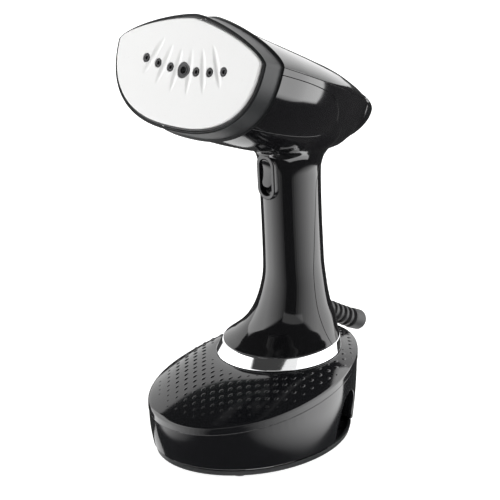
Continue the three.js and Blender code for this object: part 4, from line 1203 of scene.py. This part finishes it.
foot_height = TANK_FOOT["height"]
bottom_line = {}
for sign, number in ((1, RIGHT_ARCH), (-1, LEFT_ARCH)):
    mirror = np.array([sign, 1, 1])
    arch = slice(starts[number], starts[number + 1])
    edge = (edge_points[arch], edge_normals[arch], edge_outward[arch])
    rings, ways = rolled(*edge, ARCH_EDGE, RECESS["depth"])
    last = rings[-2].copy()
    last[:, 2] = np.maximum(last[:, 2], foot_height)
    inwards = recess_floor(last[:, 1], last[:, 2]) * mirror - rings[-2]
    wall = [rings[-2] + inwards * t for t in (0.35, 0.7, 1)]
    rings = np.array([edge_points[arch]] + rings[:-1] + wall)
    skin.grid(rings, np.array([edge_normals[arch]] + ways[:-1] + [ways[-1]] * 3))
    base = np.linspace(*sorted((last[0, 1], last[-1, 1]), reverse=True), 30)
    outline = ccw(np.vstack([last[::sign, 1:], pairs(base, foot_height)[1:-1]]))
    recess_back = Patch(recess_floor, [outline], (1.6, 1.6))
    skin.add(recess_back.points * mirror, recess_back.normals * mirror, recess_back.faces[:, ::sign])
    bottom_line[sign] = (recess_floor(base, np.full(30, foot_height)) * mirror)[:, :2]
under = np.vstack([
    edge_points[starts[0]:starts[RIGHT_ARCH], :2], bottom_line[1][::-1],
    edge_points[starts[3]:starts[LEFT_ARCH], :2], bottom_line[-1], edge_points[starts[5]:starts[6], :2],
])


def underside(x, y):
    return np.stack([x, y, 0 * x + foot_height], axis=-1)


Patch(underside, [ccw(under)], (5.0, 5.0)).into(skin, flip=True)
skin.build("tank_body_shell", "tank", "tank_black", "tank_body")


# ---------------- foot ring, pads and filler plug

profile = rounded([(14, 4.7), (14, 0.8), (1.8, 0.8), (0.8, 4.7), (3.0, 4.7)], [0.5, 0.8, 0.4])
angle = turns(260)
foot_width, foot_length = TANK_FOOT["width"], TANK_FOOT["length"]
rings = np.array([tank_ring(foot_width - inset, foot_length - inset, z, 0, angle) for inset, z in profile])
round_piece(WORLD, rings, ring_normals(rings, -4), "foot_ring_shell", "tank", "foot_grey", "foot_ring")
profile = rounded([(0.01, 0.35), (3.4, 0.35), (3.7, 0), (5, 0), (5, 2.2)], [0.2, 0.2, 0.5])
for name, (x, y) in PADS.items():
    pad = revolve(profile, 40, (x, y, 0))
    round_piece(WORLD, *pad, f"foot_pad_{name}_disc", "tank", "black_rubber", f"foot_pad_{name}")
PLUG_OUTLINE = [(-1.1, -7), (0, 0), (0, 0.6), (1.5, 0.6), (1.5, 2.6), (-1.2, 2.6), (-2.2, 1.5)]
profile = [(FILLER["radius"] + out, FILLER["face"] + back) for out, back in PLUG_OUTLINE]
profile.append((0.01, FILLER["face"] + PLUG_OUTLINE[-1][1]))
profile = rounded(profile, [0.2, 0.2, 0.5, 0.7, 0.4, 0.6])
plug = revolve(profile, 72, (0, 0, FILLER["height"]), "y")
round_piece(WORLD, *plug, "filler_plug_cap", "plug", "black_rubber", "filler_plug")


# ---------------- studio

FLOOR_REACH = 6
corners = [(-FLOOR_REACH, -FLOOR_REACH, 0), (FLOOR_REACH, -FLOOR_REACH, 0),
           (FLOOR_REACH, FLOOR_REACH, 0), (-FLOOR_REACH, FLOOR_REACH, 0)]
floor_mesh = bpy.data.meshes.new("floor")
floor_mesh.from_pydata(corners, [], [(0, 1, 2, 3)])
floor = bpy.data.objects.new("floor", floor_mesh)
bpy.context.scene.collection.objects.link(floor)
glow = {"Emission Color": (1, 1, 1, 1), "Emission Strength": 0.8}
floor_mesh.materials.append(grained("pale_floor", (0.6, 0.6, 0.6), 0.6, 300, 0.00001, 0.01, **glow))
floor.visible_glossy = False

# The camera sees white paper behind the floor, while the object is lit by a dark room and its softboxes.
world = bpy.data.worlds.new("studio")
bpy.context.scene.world = world
world.use_nodes = True
tree = world.node_tree
room = tree.nodes["Background"]
room.inputs["Color"].default_value = (1, 1, 1, 1)
room.inputs["Strength"].default_value = 0.05
paper = tree.nodes.new("ShaderNodeBackground")
paper.inputs["Color"].default_value = (1, 1, 1, 1)
rays = tree.nodes.new("ShaderNodeLightPath")
either = tree.nodes.new("ShaderNodeMixShader")
tree.links.new(rays.outputs["Is Camera Ray"], either.inputs["Fac"])
tree.links.new(room.outputs["Background"], either.inputs[1])
tree.links.new(paper.outputs["Background"], either.inputs[2])
tree.links.new(either.outputs["Shader"], tree.nodes["World Output"].inputs["Surface"])
bpy.context.scene.view_settings.view_transform = "Standard"

MIDDLE, AWAY = Vector((0, 0, 0.15)), 1.8


def softbox(name, azimuths, elevations, radiance):
    """An area light seen from the object between two azimuths, from the camera's own, and two elevations."""
    light = bpy.data.objects.new(name, bpy.data.lights.new(name, "AREA"))
    light.data.shape = "RECTANGLE"
    light.data.size = 2 * AWAY * math.tan(math.radians(azimuths[1] - azimuths[0]) / 2)
    light.data.size_y = 2 * AWAY * math.tan(math.radians(elevations[1] - elevations[0]) / 2)
    light.data.energy = radiance * math.pi * light.data.size * light.data.size_y
    way = direction(VIEW_AZIMUTH + math.radians(sum(azimuths) / 2), math.radians(sum(elevations) / 2))
    light.location = MIDDLE + way * AWAY
    light.rotation_euler = (-way).to_track_quat("-Z", "Y").to_euler()
    bpy.context.scene.collection.objects.link(light)


# Each wing is a stack of panels that share their outer edge, so it grows dimmer inwards and downwards.
WING_PANELS = 14
for step in np.linspace(0, 1, WING_PANELS):
    softbox(f"wing_right_{step:.2f}", (14 + 100 * step, 126), (-35 + 15 * step, 42), 5.75 / WING_PANELS)
    softbox(f"wing_left_{step:.2f}", (-130, -22 - 96 * step), (-35 + 9 * step, 40), 5.2 / WING_PANELS)
softbox("softbox_back", (125, 235), (0, 45), 1.5)
softbox("softbox_front", (-22, 30), (24, 40), 0.9)
softbox("softbox_below", (-30, 30), (-118, -62), 4.0)
softbox("softbox_below_back", (184, 226), (-62, -31), 1.2)
